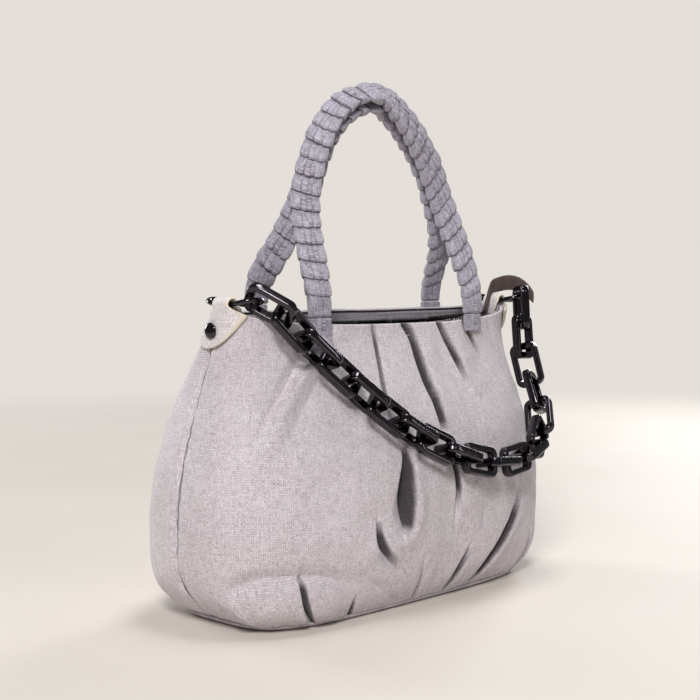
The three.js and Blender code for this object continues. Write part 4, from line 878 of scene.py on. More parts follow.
# %% Zip tapes
MOUTH_MIDDLE = -19.0
TAPE_EASE = {"front": 1.0, "back": 3.4}         # mm from the facing
TAPE_TOP = {"front": 1.0, "back": 0.945}        # shares of the shell's height
TAPE_LOW = {"front": 0.945, "back": 0.885}
SLIDER = np.array([123.0, MOUTH_MIDDLE, 205.4])
CLOSING_START = 74                              # mm along X, where the tapes start to come together


def uv_grid(across, along):
    """A grid of uv pairs in metres from two rows of mm."""
    return np.stack(np.meshgrid(across, along), -1) * MM


def tape_point(side, turn, edge, inward):
    """A point of a tape: edge runs from 0 at its bottom to 1 at its top, and inward is measured from its outer face.
    It follows the shell, then eases to stand beside the slider from the closing's start on."""
    t = mix(TAPE_LOW[side], TAPE_TOP[side], edge)
    base = shell(turn, t, -5.5 - TAPE_EASE[side] - inward)
    lift, _, _ = relief(turn, base[..., 2], inside=True)
    base = base + shell_frame(turn, t)[1] * lift[..., None]
    sign = -1 if side == "front" else 1
    if side == "front":
        base[..., 2] += edge * mix(-2, -3.5, np.sin(np.radians(turn)) ** 4)
    closing = smooth((base[..., 0] - CLOSING_START) / (SLIDER[0] - 6.5 - CLOSING_START))
    base[..., 1] = mix(base[..., 1], MOUTH_MIDDLE + sign * (6.3 + 0.5 - inward), closing)
    base[..., 2] = mix(base[..., 2], 203.6 - (1 - edge) * 0.055 * RIM, closing)
    return base


tape_turns = {}
for side, start, _ in HALVES:
    turns = np.linspace(0, 180, 721)
    turns = turns if side == "front" else 360 - turns
    top = tape_point(side, turns, np.ones(721), 0.5)
    turns = turns[(top[:, 0] > -121.5) & (top[:, 0] < 133.5)]
    turns = tape_turns[side] = turns[:len(turns) - (1 - len(turns) % 2)]
    edges = np.linspace(0, 1, 13)
    grid_turn, grid_edge = np.meshgrid(turns, edges)
    outer = tape_point(side, grid_turn, grid_edge, 0.0)
    inner = tape_point(side, grid_turn[::2, ::2], grid_edge[::2, ::2], 1.0)
    tape = close_sheet(f"zip_tape_{side}_cloth", outer, inner, uv_grid(run_length(outer[-1]), edges * 11.5))
    dress(tape, tape_cloth)
    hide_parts(f"zip_tape_{side}")
    print(tape.name, len(turns), "columns")

# %% [markdown]
# A zip's tooth is a small stamped block with a waist and a rounded head, clamped on the tape's edge. One
# is made, and copies of it are laid along the edge as a single piece, which is lighter than many objects.

# %% Zip teeth
TOOTH_PITCH, TOOTH_RISE = 2.15, 2.0       # mm along the tape, and from its edge to the middle of a tooth


def sample(places, run, values):
    """Each column of values, read off at places along a run by straight lines between its entries."""
    return np.stack([np.interp(places, run, column) for column in values.T], -1)


def instances(name, template, faces, places, axes, material):
    """Many copies of a small closed shape, as one piece: template points times each copy's axes, plus its place."""
    points = np.einsum("pk,nkj->npj", template, axes) + places[:, None]
    steps = (np.arange(len(places)) * len(template))[:, None, None]
    return dress(build(name, points, [(f[None] + steps).reshape(-1, f.shape[1]) for f in faces]), material)


def tooth_shape():
    """A zip tooth with a waist and a rounded head, its section growing and shrinking along its height."""
    heights = np.array([-1.5, -1.3, -0.4, 0.3, 1.2, 1.5])
    widths = np.array([1.0, 1.3, 1.3, 0.85, 1.25, 0.9])
    depths = np.array([0.55, 0.75, 0.75, 0.6, 0.8, 0.55])
    corners = np.array([[1, 0.6], [0.6, 1], [-0.6, 1], [-1, 0.6], [-1, -0.6], [-0.6, -1], [0.6, -1], [1, -0.6]])
    rings = np.stack([np.stack([corners[:, 0] * w, corners[:, 1] * d, np.full(8, h)], -1)
                      for h, w, d in zip(heights, widths, depths)])
    caps = np.array([np.arange(8)[::-1], np.arange(8) + 8 * (len(heights) - 1)])
    return rings.reshape(-1, 3), [grid_quads(len(heights), 8, wrap=True), caps]


tooth, tooth_faces = tooth_shape()
for side, turns in tape_turns.items():
    edge_line = tape_point(side, turns, np.ones(len(turns)), 0.5)
    up = unit(edge_line - tape_point(side, turns, np.full(len(turns), 0.5), 0.5))
    run = run_length(edge_line)
    spots = np.arange(1.5, run[-1] - 1, TOOTH_PITCH)
    place = sample(spots, run, edge_line)
    upward = unit(sample(spots, run, up))
    across = unit(np.cross(upward, unit(np.gradient(place, axis=0))))
    axes = np.stack([across, np.cross(across, upward), upward], 1)
    teeth = instances(f"zip_teeth_{side}_metal", tooth, tooth_faces, place + upward * TOOTH_RISE, axes,
                      zip_metal)
    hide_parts(f"zip_teeth_{side}")
    print(teeth.name, len(spots), "teeth")

# %% [markdown]
# The slider and its puller are small castings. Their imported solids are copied, joined up, and given
# rounded edges, because a sharp edge on so small a casting would never catch the light.

# %% Slider and puller


def softened(node, name, width, body):
    """A copy of a packed hard piece with its corners joined and its edges rounded by a bevel of that width."""
    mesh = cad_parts[node].data.copy()
    obj = link(bpy.data.objects.new(name, mesh))
    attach(obj, body)
    obj.modifiers.new("weld", "WELD").merge_threshold = 2e-5
    bevel = obj.modifiers.new("bevel", "BEVEL")
    bevel.width, bevel.segments, bevel.limit_method, bevel.angle_limit = width, 2, "ANGLE", np.radians(35)
    bevel.use_clamp_overlap = True
    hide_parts(node)
    dress(obj, zip_metal)
    print(name, "on", body)


softened("zip_slider", "zip_slider_metal", 0.00035, "zip_slider")
softened("zip_puller", "zip_puller_metal", 0.0003, "zip_puller")

# %% [markdown]
# The tail is the closed end of the zip in a fold of the lining's cloth, standing on edge over the right
# ring. A curve with a bevel would keep one width, so it is a tube through rings, whose height changes
# along it and whose top is a little fuller, where the teeth are inside.

# %% Zip tail
# stations of the tail: along X, its lower edge and its upper edge
TAIL = [(131, 201.5, 211.5), (135, 209, 220), (139, 218.5, 230), (141.5, 223, 234), (148, 223.8, 236),
        (163, 226, 238.5), (178, 224.5, 237), (190, 219.5, 232), (199, 214, 224)]


def squared(v, power):
    """The size of v to a power, with the sign of v: it turns a circle's cosine and sine into a rounded oblong's."""
    return np.sign(v) * np.abs(v) ** power


def follow(stations, count):
    """Points along a row of stations, spaced evenly, on a curve that passes near them with rounded corners."""
    line = rounded(stations)
    run = run_length(line)
    even = np.linspace(0, run[-1], count)
    return sample(even, run, line), even


spine, tail_run = follow(TAIL, 90)
angle = circle(28)
fullness = mix(1.15, 1.7, smooth(np.cos(angle) * 0.5 + 0.5))
ripple = 1 + 0.05 * np.sin(tail_run / 2.4)
taper = np.minimum(1, 0.35 + np.minimum(tail_run, tail_run[-1] - tail_run) / 3)
half = (spine[:, 2] - spine[:, 1]) / 2
tail_rings = np.stack([
    spine[:, :1] + 0 * angle,
    MOUTH_MIDDLE + np.sin(angle)[None] * fullness[None] * (ripple * taper)[:, None],
    (spine[:, 1] + half)[:, None] + squared(np.cos(angle), 0.8) * half[:, None],
], -1)
tail = tube("zip_tail_cloth", tail_rings, uv_grid(np.linspace(0, 24, 29), tail_run))
dress(tail, lining_cloth)
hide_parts("zip_tail")
print(tail.name, f"{tail_run[-1]:.0f} mm long")

# %% [markdown]
# ## Tabs, rivets and rings
# A tab of two layers is folded over each ring and riveted through the seam at the end of the bag, and
# its cut edge is painted a paler shade. It could be a bent plane, but then it would cut the bag's round
# end, so its rows are laid on that end, over the wire and down the inside.

# %% Tabs
WIRE_HEIGHT, FOLD_CENTRE, FOLD_RADIUS = 217.15, 144.95, 3.45
TAB_EASE, INSIDE_OUT = 1.4, -5.5        # mm between the bag's end and the tab, outside and inside
TAB_THICKNESS, TAB_LENGTH, TAB_WIDTH, TAB_NECK, TAB_SHOULDER = 2.0, 29.0, 31.0, 14.0, 8.0
TAB_COLUMNS, EDGE_BULGE = 33, 0.9
ENDS = ((-1, "left"), (1, "right"))


def lowered(height, dip_at):
    """The oblong that the rim's dip brings down to a height, found in three rounds: each asks dip_at for the share
    of the way towards the side's middle and the dip there, and looks the dip times the share squared higher up."""
    low = np.minimum(height, RIM)
    level = outline(low)
    for _ in range(3):
        share, dip = dip_at(*level)
        level = outline(np.minimum(RIM, low + dip * share ** 2 * (low / RIM) ** 2))
    return share, level


def end_point(side, z, across, out):
    """A point of the bag's end at height z and across from its middle; over the ring it stays straight."""
    z, across = np.broadcast_arrays(z, across)

    def dip_at(_, half_depth, *rest):
        """The distance across as a share of the half depth, and the dip of the side that it lies on."""
        return np.clip(np.abs(across) / (half_depth + out), 0, 1), np.where(across < 0, FRONT_DIP, BACK_DIP)

    share, (half_length, _, middle, power) = lowered(z, dip_at)
    curved = (half_length + out) * (1 - share ** power) ** (1 / power)
    straight = outline(np.minimum(z, RIM))[0] + out
    below = np.clip((WIRE_HEIGHT - z) / (WIRE_HEIGHT - RIM - 0.3), 0, 1)
    return np.stack([side * mix(straight, curved, below), middle + across, z + 0 * across], -1)


def tab_half_width(drop):
    """Half width of the tab below its fold: from the neck to the full width, then a rounded end."""
    down = np.clip((drop - TAB_SHOULDER) / (TAB_LENGTH - TAB_SHOULDER), 0, 1)
    shoulder = mix(TAB_NECK, TAB_WIDTH, smooth(drop / TAB_SHOULDER)) / 2
    rounded_end = TAB_WIDTH / 2 * np.sqrt(np.maximum(0.004, 1 - down ** 2.4))
    return np.where(drop <= TAB_SHOULDER, shoulder, rounded_end)


def tab_surface(side, across, layer):
    """Rows of a tab's face from its rounded end up the outside, over the ring and down the inside."""
    rows = []
    for drop in TAB_LENGTH * np.concatenate([1 - np.linspace(0, 0.22, 12) ** 1.6, np.linspace(0.88, 0, 23)[1:]]):
        rows.append(end_point(side, WIRE_HEIGHT - drop, across * tab_half_width(drop),
                              TAB_EASE + layer * TAB_THICKNESS))
    radius = FOLD_RADIUS + layer * TAB_THICKNESS
    for a in np.radians(np.linspace(0, 180, 17)[1:-1]):
        rows.append(np.stack([0 * across + side * (FOLD_CENTRE + radius * np.cos(a)),
                              MOUTH_MIDDLE + across * TAB_NECK / 2,
                              0 * across + WIRE_HEIGHT + radius * np.sin(a)], -1))
    for share in np.linspace(0, 1, 10):
        z = WIRE_HEIGHT - share * (20 + WIRE_HEIGHT - RIM)
        rows.append(end_point(side, z, across * TAB_NECK / 2, INSIDE_OUT - layer * TAB_THICKNESS))
    return np.stack(rows)


def tab_section(side):
    """Rings round the tab: its outer face, a rounded edge, its inner face and the other edge."""
    wide = np.linspace(-1, 1, TAB_COLUMNS)
    rings = []
    for o, i in zip(tab_surface(side, wide, 1.0), tab_surface(side, wide, 0.0)):
        edges = []
        for outer, inner, before in ((o[-1], i[-1], o[-2]), (o[0], i[0], o[1])):
            tip = (outer + inner) / 2 + unit(outer - before) * EDGE_BULGE
            shift = (outer - inner) * 0.08
            edges.append([mix(outer, tip, 0.62) + shift, tip, mix(inner, tip, 0.62) - shift])
        rings.append(np.concatenate([o, edges[0], i[::-1], edges[1][::-1]]))
    return np.stack(rings)


for side, name in ENDS:
    rings = tab_section(side)
    girth_run = run_length(rings[12])
    tab = tube(f"{name}_tab_cloth", rings, uv_grid(np.append(girth_run, girth_run[-1] + 1), run_length(rings[:, 16])))
    paint = np.zeros(rings.shape[:2])
    paint[:, TAB_COLUMNS - 1:TAB_COLUMNS + 4] = paint[:, 2 * TAB_COLUMNS + 2:] = paint[:, 0] = paint[0] = 1
    point_values(tab, "paint", np.append(paint, [1, 0]))
    dress(tab, tab_cloth.material)
    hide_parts(f"{name}_tab")
    print(tab.name, len(rings), "rings")

# %% [markdown]
# Rivet caps are shallow domes of dark plated metal, turned on a lathe: a profile of radius and height
# is carried once round the rivet's axis, which keeps the dome round at any distance.

# %% Rivets
RIVET_HEIGHT, RIVET_RADIUS, DOME = 200.0, 5.5, 2.1      # mm


def turned(name, profile, side, count=72):
    """Rings of a body of revolution along X: profile is a list of (radius, outward) from axis to axis."""
    profile = np.array(profile, float)
    angle = circle(count)
    half_length, _, middle, _ = outline(np.array(RIVET_HEIGHT))
    x = side * (half_length + profile[:, 1])
    return tube(name, np.stack([x[:, None] + 0 * angle, middle + profile[:, :1] * np.cos(angle),
                                RIVET_HEIGHT + profile[:, :1] * np.sin(angle)], -1))


lean = float(outline(np.array(RIVET_HEIGHT - RIVET_RADIUS))[0] - outline(np.array(RIVET_HEIGHT))[0])
seat = TAB_EASE + TAB_THICKNESS + 0.3 + lean
inside_top = -(TAB_THICKNESS - INSIDE_OUT + 0.3 + lean) - 1.2 - 0.3
dome = [(RIVET_RADIUS * np.cos(a) ** 0.85, seat + 0.5 + DOME * np.sin(a)) for a in np.radians(np.linspace(0, 88, 14))]
profile = [(0.05, inside_top - 0.8), (2.0, inside_top - 0.8), (2.25, inside_top - 0.4), (2.0, inside_top),
           (1.5, inside_top), (1.5, seat), (5.0, seat), (5.4, seat + 0.15)] + dome + [(0.05, seat + 2.6)]
for side, name in ENDS:
    rivet = dress(turned(f"{name}_rivet_metal", profile, side), gunmetal)
    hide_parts(f"{name}_rivet")
    dress(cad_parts[f"{name}_rivet_washer"], gunmetal)
    print(rivet.name)

# %% [markdown]
# Each ring is round wire bent to an oval whose two ends rise a little, so that the chain hangs from the
# raised front end. The wire's section is carried round that closed path.

# %% Rings
RING_MIDDLE, RING_BOW, RING_WIRE = MOUTH_MIDDLE + 1, 3.5, 3.6
RING_HALF_WIDTH, RING_HALF_LENGTH = (22.6 - RING_WIRE) / 2, (48 - RING_WIRE) / 2
WIRE_EASE = 0.08        # mm taken off the wire all round, so that the first link clears it when both have swung


def ring_path(side, count):
    """Points of the oval: two straight runs and two half circles, both ends bent up by the square of the distance."""
    straight, bend = RING_HALF_LENGTH - RING_HALF_WIDTH, np.pi * RING_HALF_WIDTH
    total = 4 * straight + 2 * bend
    d = np.linspace(0, total, count, endpoint=False)
    x, y = np.zeros(count), np.zeros(count)
    first = d < 2 * straight
    x[first], y[first] = RING_HALF_WIDTH, d[first] - straight
    second = (d >= 2 * straight) & (d < 2 * straight + bend)
    a = (d[second] - 2 * straight) / RING_HALF_WIDTH
    x[second], y[second] = RING_HALF_WIDTH * np.cos(a), straight + RING_HALF_WIDTH * np.sin(a)
    half = total / 2
    x[d >= half], y[d >= half] = -np.interp(d[d >= half] - half, d, x), -np.interp(d[d >= half] - half, d, y)
    centre = side * (FOLD_CENTRE + side * RING_HALF_WIDTH)
    return np.stack([centre + x, RING_MIDDLE + y, WIRE_HEIGHT + RING_BOW * (y / RING_HALF_LENGTH) ** 2], -1)


def square_to(v, way):
    """The part of v that is square to a unit vector, made a unit vector itself."""
    return unit(v - way * np.sum(v * way, -1, keepdims=True))


def around(path, up, section):
    """Rings round a closed path: each section point is moved across and up in the plane square to the path."""
    ahead = unit(np.roll(path, -1, 0) - np.roll(path, 1, 0))
    upright = square_to(up, ahead)
    across = np.cross(ahead, upright)
    return path[:, None] + across[:, None] * section[..., :1] + upright[:, None] * section[..., 1:]


wire_section = (RING_WIRE / 2 - WIRE_EASE) * np.stack([np.cos(circle(24)), np.sin(circle(24))], -1)
for side, name in ENDS:
    rings = around(ring_path(side, 180), np.array([0, 0, 1.0]), wire_section[None])
    ring = dress(tube(f"{name}_ring_wire", rings, closed=True, body=f"{name}_ring"), gunmetal)
    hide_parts(f"{name}_ring")
    print(ring.name, len(rings), "sections")

# %% [markdown]
# ## Chain
# The links are long oblongs of square bar with rounded edges, each turned a quarter round from its
# neighbours. One fine link is made, and laid where each packed link lies: the longest direction of a
# packed link's corners is its length, the next its width, and the shortest its thickness.

# %% Chain links
LINK_LENGTH, LINK_WIDTH, LINK_BAR, LINK_THICKNESS, LINK_CORNER = 36.4, 23.0, 6.0, 6.5, 6.5
LINK_WAIST = 1.5        # how much the long sides are cut away inside, against the ends


def link_rings(corner_steps=9, straight_steps=5):
    """Rings of a link in its own plane: a rounded oblong path, with a squared bar section carried round it."""
    half_length, half_width = (LINK_LENGTH - LINK_BAR) / 2, (LINK_WIDTH - LINK_BAR) / 2
    corner = LINK_CORNER - LINK_BAR / 2
    path, outward = [], []
    for sx, sy, start in ((1, 1, 0), (-1, 1, 90), (-1, -1, 180), (1, -1, 270)):
        for a in np.radians(start + np.linspace(0, 90, corner_steps)):
            c, s = np.cos(a), np.sin(a)
            outward.append((c, s, 0))
            path.append((sx * (half_length - corner) + corner * c, sy * (half_width - corner) + corner * s, 0))
    path, outward = np.array(path), np.array(outward)
    pieces, sides = [], []
    for i in range(len(path)):
        j = (i + 1) % len(path)
        pieces.append(path[i:i + 1])
        sides.append(outward[i:i + 1])
        if np.linalg.norm(path[j] - path[i]) > 3:
            share = (np.arange(1, straight_steps) / straight_steps)[:, None]
            pieces.append(mix(path[i], path[j], share))
            sides.append(np.repeat(outward[i:i + 1], straight_steps - 1, 0))
    path, outward = np.concatenate(pieces), np.concatenate(sides)
    high = LINK_THICKNESS / 2 * squared(np.sin(circle(32, 0.5)), 2 / 4.4)
    across = squared(np.cos(circle(32, 0.5)), 2 / 4.4)
    side = smooth((half_length - np.abs(path[:, 0]) + 1.5) / 5)
    inner_edge = LINK_BAR / 2 - LINK_WAIST * side
    reach = np.where(across[None] > 0, LINK_BAR / 2, inner_edge[:, None]) * across[None]
    return path[:, None] + outward[:, None] * reach[..., None] + np.array([0, 0, 1.0]) * high[None, :, None]


fine_link = link_rings()
link_names = sorted(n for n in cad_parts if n.startswith("chain_link_"))
for node in link_names:
    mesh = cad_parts[node].data
    corners = np.empty(len(mesh.vertices) * 3)
    mesh.vertices.foreach_get("co", corners)
    corners = np.unique(np.round(corners.reshape(-1, 3) / MM, 3), axis=0)
    centre = corners.mean(0)
    _, _, axes = np.linalg.svd(corners - centre)
    if np.linalg.det(axes) < 0:
        axes[2] *= -1
    obj = tube(f"{node}_metal", centre + fine_link @ axes, closed=True, body="chain")
    dress(obj, gunmetal)
    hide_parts(node)
print("chain links:", len(link_names))

# %% [markdown]
# ## Handles
# A handle is a thick band of overlapping gathered strips, like rows of shingles, that rises from the
# panel in an arch and turns its face on the way. The path and the turning start from the numbers of the
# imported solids, but the right side leans further in, as cloth that has sagged.

# %% Handle paths
HANDLE_WIDTH, HANDLE_THICKNESS, END_THICKNESS, HANDLE_TOP = 20.5, 7.6, 5.0, 372.0
MEETING_HEIGHT, MEETING_Y, CLEARANCE, SQUARENESS, SAGGED_SIDE = 92.0, -24.2, 1.8, 2.5, 1.5
FRONT_FOLD, BACK_FOLD = np.array([83, -45.591, 210.487]), np.array([94, 6.774, 219.366])
# share of the way along the band, and where its front faces there
FACING = [(0, (0, -1, 0)), (0.12, (-0.45, -0.9, 0)), (0.3, (-0.75, -0.6, 0.25)), (0.43, (-0.5, -0.45, 0.75)),
          (0.5, (-0.2, -0.65, 0.73)), (0.57, (-0.15, -0.95, 0.3)), (0.7, (-0.35, -0.93, 0)),
          (0.88, (-0.25, -0.97, 0)), (1, (0, -1, 0))]


def facing_at(share):
    """The way the front of the band faces, eased between the listed directions."""
    places = np.array([p for p, _ in FACING])
    ways = np.array([w for _, w in FACING], float)
    index = np.clip(np.searchsorted(places, share, side="left"), 1, len(places) - 1)
    local = smooth((share - places[index - 1]) / (places[index] - places[index - 1]))
    return unit(mix(ways[index - 1], ways[index], local[:, None]))


def arch(fold, turn):
    """The handle's arch as a rounded oblong: how far along, how high over its folds, and how much the bands are
    joined. Its right side has sagged towards the middle, so it runs straighter to the top than the left side."""
    c, s = np.cos(np.pi * turn), np.sin(np.pi * turn)
    rise = (HANDLE_TOP - 2 - fold[2]) * np.maximum(s, 0) ** (2 / SQUARENESS)
    power = np.where(c < 0, SAGGED_SIDE, 2 / SQUARENESS)
    return -fold[0] * squared(c, power), rise, smooth(rise / MEETING_HEIGHT)


arch_turns = np.linspace(0, 1, 1201)
x, rise, joined = arch(FRONT_FOLD, arch_turns)
front_path = np.stack([x, mix(FRONT_FOLD[1], MEETING_Y, joined), FRONT_FOLD[2] + rise], -1)
front_run = run_length(front_path)
x, rise, joined = arch(BACK_FOLD, arch_turns)
own = np.stack([x, 0 * x + BACK_FOLD[1], BACK_FOLD[2] + rise], -1)
front_facing = square_to(facing_at(front_run / front_run[-1]), unit(np.gradient(front_path, axis=0)))
back_path = mix(own, front_path - front_facing * (HANDLE_THICKNESS + CLEARANCE), joined[:, None])
print(f"front band {front_run[-1]:.0f} mm long")

# %% [markdown]
# Each row of shingles has a full rolled lower edge in three lobes and thins out upwards, where the next
# row covers it. Single strips laid over one another would need a piece for each, so the rows are a
# saw-tooth in the thickness of one closed band, and a painted shade lies in the undercut of each row.

# %% Handle bands
SHINGLE_PITCH, SHINGLE_STEP, AROUND = 12.5, 3.0, 88
TURNING_POINT = 0.47            # share of the rows whose lip faces the left end; the others face the right end
ROUND_END = np.radians([86, 68, 45, 22])
END_RUN = np.array([0.9, 1.8, 2.6, 3.4])     # mm round the half-round end to each of its rings
# places of the rings within a row, close together round the lip
SHARES = np.array([0, 0.012, 0.035, 0.07, 0.12, 0.19, 0.28, 0.38, 0.49, 0.6, 0.71, 0.81, 0.9, 0.96, 0.99])


def handle_band(name, path, facings, seed, body):
    """A closed band. Along it, rows of shingles: thickness falls from a rolled lip to the next row's lip, whose edge
    is a line of three lobes across the band; round it, an oblong section with rounded sides."""
    run = run_length(path)
    length = run[-1]
    rows = int(round(length / SHINGLE_PITCH))
    draw = np.random.default_rng(seed)
    tilt = draw.uniform(-0.9, 0.9, rows + 2)
    lobes = draw.uniform(0.5, 1.25, rows + 2)
    fat = draw.uniform(0.8, 1.15, rows + 2)
    half_way = int(rows * TURNING_POINT)
    index = np.repeat(np.arange(rows), len(SHARES))
    share = np.concatenate([np.tile(SHARES, half_way), np.tile(1 - SHARES[::-1], rows - half_way)])
    mirrored = index >= half_way
    lip_share = np.where(mirrored, 1 - share, share)
    way = np.where(mirrored, -1.0, 1.0)[:, None]
    c, s = np.cos(circle(AROUND, 0.5)), np.sin(circle(AROUND, 0.5))
    w, face = squared(c, 0.5), squared(s, 0.5)
    fade = smooth(np.minimum(index + share, rows - index - share) / 2)[:, None]
    line = 1.7 * w ** 2 + 1.1 * (1 - np.abs(np.sin(1.5 * np.pi * (w + 1))) ** 0.7)
    i0 = index[:, None]
    shift = mix(lobes[i0] * line[None] + tilt[i0] * w, lobes[i0 + 1] * line[None] + tilt[i0 + 1] * w, share[:, None])
    slant = mix(-1.3, 5.2, smooth(((index + share) / rows - 0.42) / 0.16))[:, None]
    shift = ((shift - 1.2) * way + slant * w) * fade
    distance = np.clip((index + share)[:, None] * (length / rows) + shift, 0, length)
    from_end = smooth(np.minimum(distance, length - distance) / 16)
    thick = mix(END_THICKNESS, HANDLE_THICKNESS, from_end)
    rolled = np.sqrt(np.maximum(1 - (1 - np.clip(lip_share / 0.16, 0, 1)) ** 2, 0))
    saw = np.where(lip_share < 0.16, rolled, 1 - 0.9 * (np.maximum(lip_share - 0.16, 0) / 0.84) ** 1.6)
    saw = saw[:, None] * fat[i0]
    slit = np.exp(-((np.abs(w) - 1 / 3) / 0.055) ** 2) * (1 - lip_share[:, None]) ** 0.7
    groove = np.exp(-(share / 0.02) ** 2) + np.exp(-((1 - share) / 0.02) ** 2)
    depth = thick / 2 - SHINGLE_STEP * fade * (1.0 - saw) - 1.1 * slit * fade - 0.5 * groove[:, None] * fade
    side_out = HANDLE_WIDTH / 2 + fade * (1.7 * saw - 1.4)
    lean_back = -1.5 * fade * np.exp(-((lip_share - 0.07) / 0.07) ** 2)[:, None]
    distance = np.clip(distance + lean_back * way, 0, length)
    along = sample(distance, run, unit(np.gradient(path, axis=0)))
    upright = np.zeros_like(along)
    upright[..., 2] = np.where(distance < length / 2, 1, -1)
    along = unit(mix(upright, along, from_end[..., None]))
    up = square_to(sample(distance, run, facings), along)
    at, across = sample(distance, run, path), np.cross(along, up)
    rings = at + across * (w * side_out)[..., None] + up * (face * depth)[..., None]
    bend = ROUND_END[:, None, None]
    closed = []
    for last in (rings[:1], rings[-1:]):
        middle = last.mean(1, keepdims=True)
        round_end = (last - middle) * np.concatenate([mix(0.94, 1, np.cos(bend)), np.cos(bend), 0 * bend], -1)
        closed.append(middle + round_end - [0, 0, 1] * np.sin(bend) * END_THICKNESS / 2)
    rings = np.concatenate([closed[0], rings, closed[1][::-1]])
    v = np.concatenate([-END_RUN[::-1], (index + share) * (length / rows), length + END_RUN])
    turn_run = np.linspace(0, 2 * (HANDLE_WIDTH + HANDLE_THICKNESS), AROUND + 1)
    obj = tube(name, rings, uv_grid(turn_run, v), body=body)
    # painted shade in the undercut at each row's lip and in the slits between its lobes
    under = np.exp(-(share / 0.05) ** 2) + np.exp(-((1 - share) / 0.05) ** 2)
    crease_shade = np.zeros(rings.shape[:2])
    crease_shade[4:-4] = np.clip(0.75 * under[:, None] + 0.45 * slit, 0, 0.8) * fade
    point_values(obj, "crease_shade", np.append(crease_shade, [0, 0]))
    dress(obj, handle_cloth.material)
    print(name, rows, "rows", len(obj.data.polygons), "faces")
    return obj


front_band = handle_band("front_handle_band", front_path, front_facing, 21, "front_handle")
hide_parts("front_handle")
back_band = handle_band("back_handle_band", back_path, front_facing, 22, "back_handle")
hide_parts("back_handle")

# %% [markdown]
# Below its fold each end of a handle is sewn flat on the panel. It is the same cloth in two thick
# layers, made as a padded strip whose rings are laid on the shell's own numbers, so that it follows
# the panel without being fitted to it by hand.

# %% Sewn ends
HANDLE_ENDS = ((-1, "left", 17), (1, "right", 9))      # side, name, and how far it reaches below the rim in mm
FOLD_RISE = 7                                          # mm from the rim there up to the fold
SEWN_ROW = 8.5                                         # mm between its shallow rows


def face_point(sign, x, z, out):
    """A point of the bag's front (-1) or back (1) at x and height z; over the rim it goes straight up."""

    def dip_at(half_length, *rest):
        """The oblong's depth at x as a share of its half depth, one less |x| / length to its power, rooted again."""
        share = np.clip(np.abs(x) / (half_length + out), 0, 1)
        return (1 - share ** rest[-1]) ** (1 / rest[-1]), FRONT_DIP if sign < 0 else BACK_DIP

    share, (_, half_depth, middle, _) = lowered(z, dip_at)
    return np.stack([x + 0 * z, middle + sign * (half_depth + out) * share, z + 0 * x], -1)


def sewn_end(name, sign, side, fold, length, node):
    """A rounded strip: rings of an oblong section from its bottom on the panel up to the fold."""
    bottom, top = fold[2] - FOLD_RISE - length, fold[2] - END_THICKNESS / 2 - 0.3
    heights = np.concatenate([[bottom], np.linspace(bottom + 0.6, top - 0.5, 26), [top]])
    pinch = np.concatenate([[0.72], np.ones(26), [0.8]])[:, None]
    angle = circle(48, 0.5)
    w, face = squared(np.cos(angle), 0.45), squared(np.sin(angle), 0.45)
    x = side * fold[0] + pinch * w * (HANDLE_WIDTH / 2 - 0.3)
    rows = 0.5 + 0.5 * np.cos(2 * np.pi * heights / SEWN_ROW)
    depth = (END_THICKNESS / 2 - 0.15) * pinch * np.where(face > 0, 1 - 0.16 * rows[:, None], 1)
    rings = face_point(sign, x, heights[:, None] + 0 * x, 0.8 + END_THICKNESS / 2 + face * depth)
    obj = tube(name, rings, uv_grid(np.linspace(0, 51, 49), heights))
    dress(obj, handle_cloth.material)
    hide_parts(node)
    return obj


for half, sign, fold in (("front", -1, FRONT_FOLD), ("back", 1, BACK_FOLD)):
    for side, end, length in HANDLE_ENDS:
        node = f"{half}_handle_{end}_end"
        sewn_end(f"{node}_cloth", sign, side, fold, length, node)

# %% [markdown]
# ## Soft pieces
# The bands, the sewn ends and the zip's tail are padded, so they have no flat size.

# %% [markdown]
# ## Studio floor
# The table is a plain pale surface that takes the bag's shadow. A real sweep of paper curves up behind the
# bag; here the floor fades out with distance and the backdrop's tone shows through, so it has no far edge.

# %% Floor
FLOOR_HALF, FADE_START, FADE_END = 4.0, 0.7, 1.9     # metres from the bag

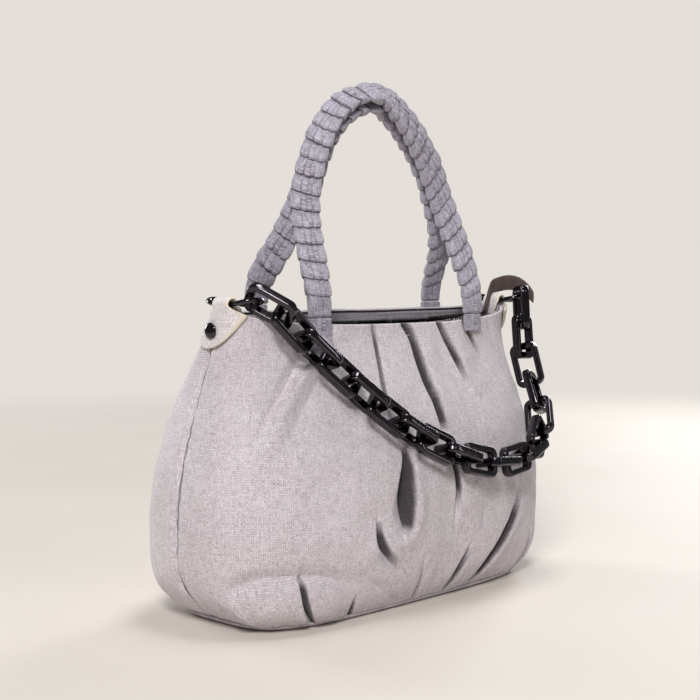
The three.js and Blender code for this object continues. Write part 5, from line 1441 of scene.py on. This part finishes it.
floor_mesh = bpy.data.meshes.new("studio_floor")
corners = [(x * FLOOR_HALF, y * FLOOR_HALF, 0) for x, y in ((-1, -1), (1, -1), (1, 1), (-1, 1))]
floor_mesh.from_pydata(corners, [], [(0, 1, 2, 3)])
floor = link(bpy.data.objects.new("studio_floor", floor_mesh))
look = Nodes("floor_paint")
place = look.add("ShaderNodeTexCoord").outputs["Object"]
mottle = look.ramp(look.noise(place, 3, 2), [(0.3, colour(220, 213, 204)), (0.7, colour(226, 219, 211))])
look.shade({"Base Color": mottle, "Roughness": 0.7})
far = look.add("ShaderNodeVectorMath", {0: place}, operation="LENGTH").outputs["Value"]
fade = look.add("ShaderNodeMapRange", {"Value": far, "From Min": FADE_START, "From Max": FADE_END},
                interpolation_type="SMOOTHSTEP")
clear = look.add("ShaderNodeBsdfTransparent")
faded = look.add("ShaderNodeMixShader", {0: fade.outputs[0], 1: look.shader.outputs[0], 2: clear.outputs[0]})
look.put(look.tree.nodes["Material Output"].inputs["Surface"], faded.outputs[0])
floor_mesh.materials.append(look.material)
print("floor fades out from", FADE_START, "to", FADE_END, "m")

# %% [markdown]
# The world gives a weak even light from all sides, and shows the backdrop's paler tone only where the
# camera looks straight at it, so that the tone can be chosen without lighting the bag.

# %% World
AMBIENT, AMBIENT_STRENGTH, BACKDROP = colour(225, 225, 230), 0.22, colour(228, 223, 216)

world = bpy.data.worlds.new("studio")
bpy.context.scene.world = world
world.use_nodes = True
tree = world.node_tree
background = tree.nodes["Background"]
background.inputs["Color"].default_value = (*AMBIENT, 1)
background.inputs["Strength"].default_value = AMBIENT_STRENGTH
seen = tree.nodes.new("ShaderNodeBackground")
seen.inputs["Color"].default_value = (*BACKDROP, 1)
rays, choose = tree.nodes.new("ShaderNodeLightPath"), tree.nodes.new("ShaderNodeMixShader")
sources = rays.outputs["Is Camera Ray"], background.outputs[0], seen.outputs[0]
for source, target in zip(sources, choose.inputs):
    tree.links.new(source, target)
tree.links.new(choose.outputs[0], tree.nodes["World Output"].inputs["Surface"])
print("world light", AMBIENT_STRENGTH)
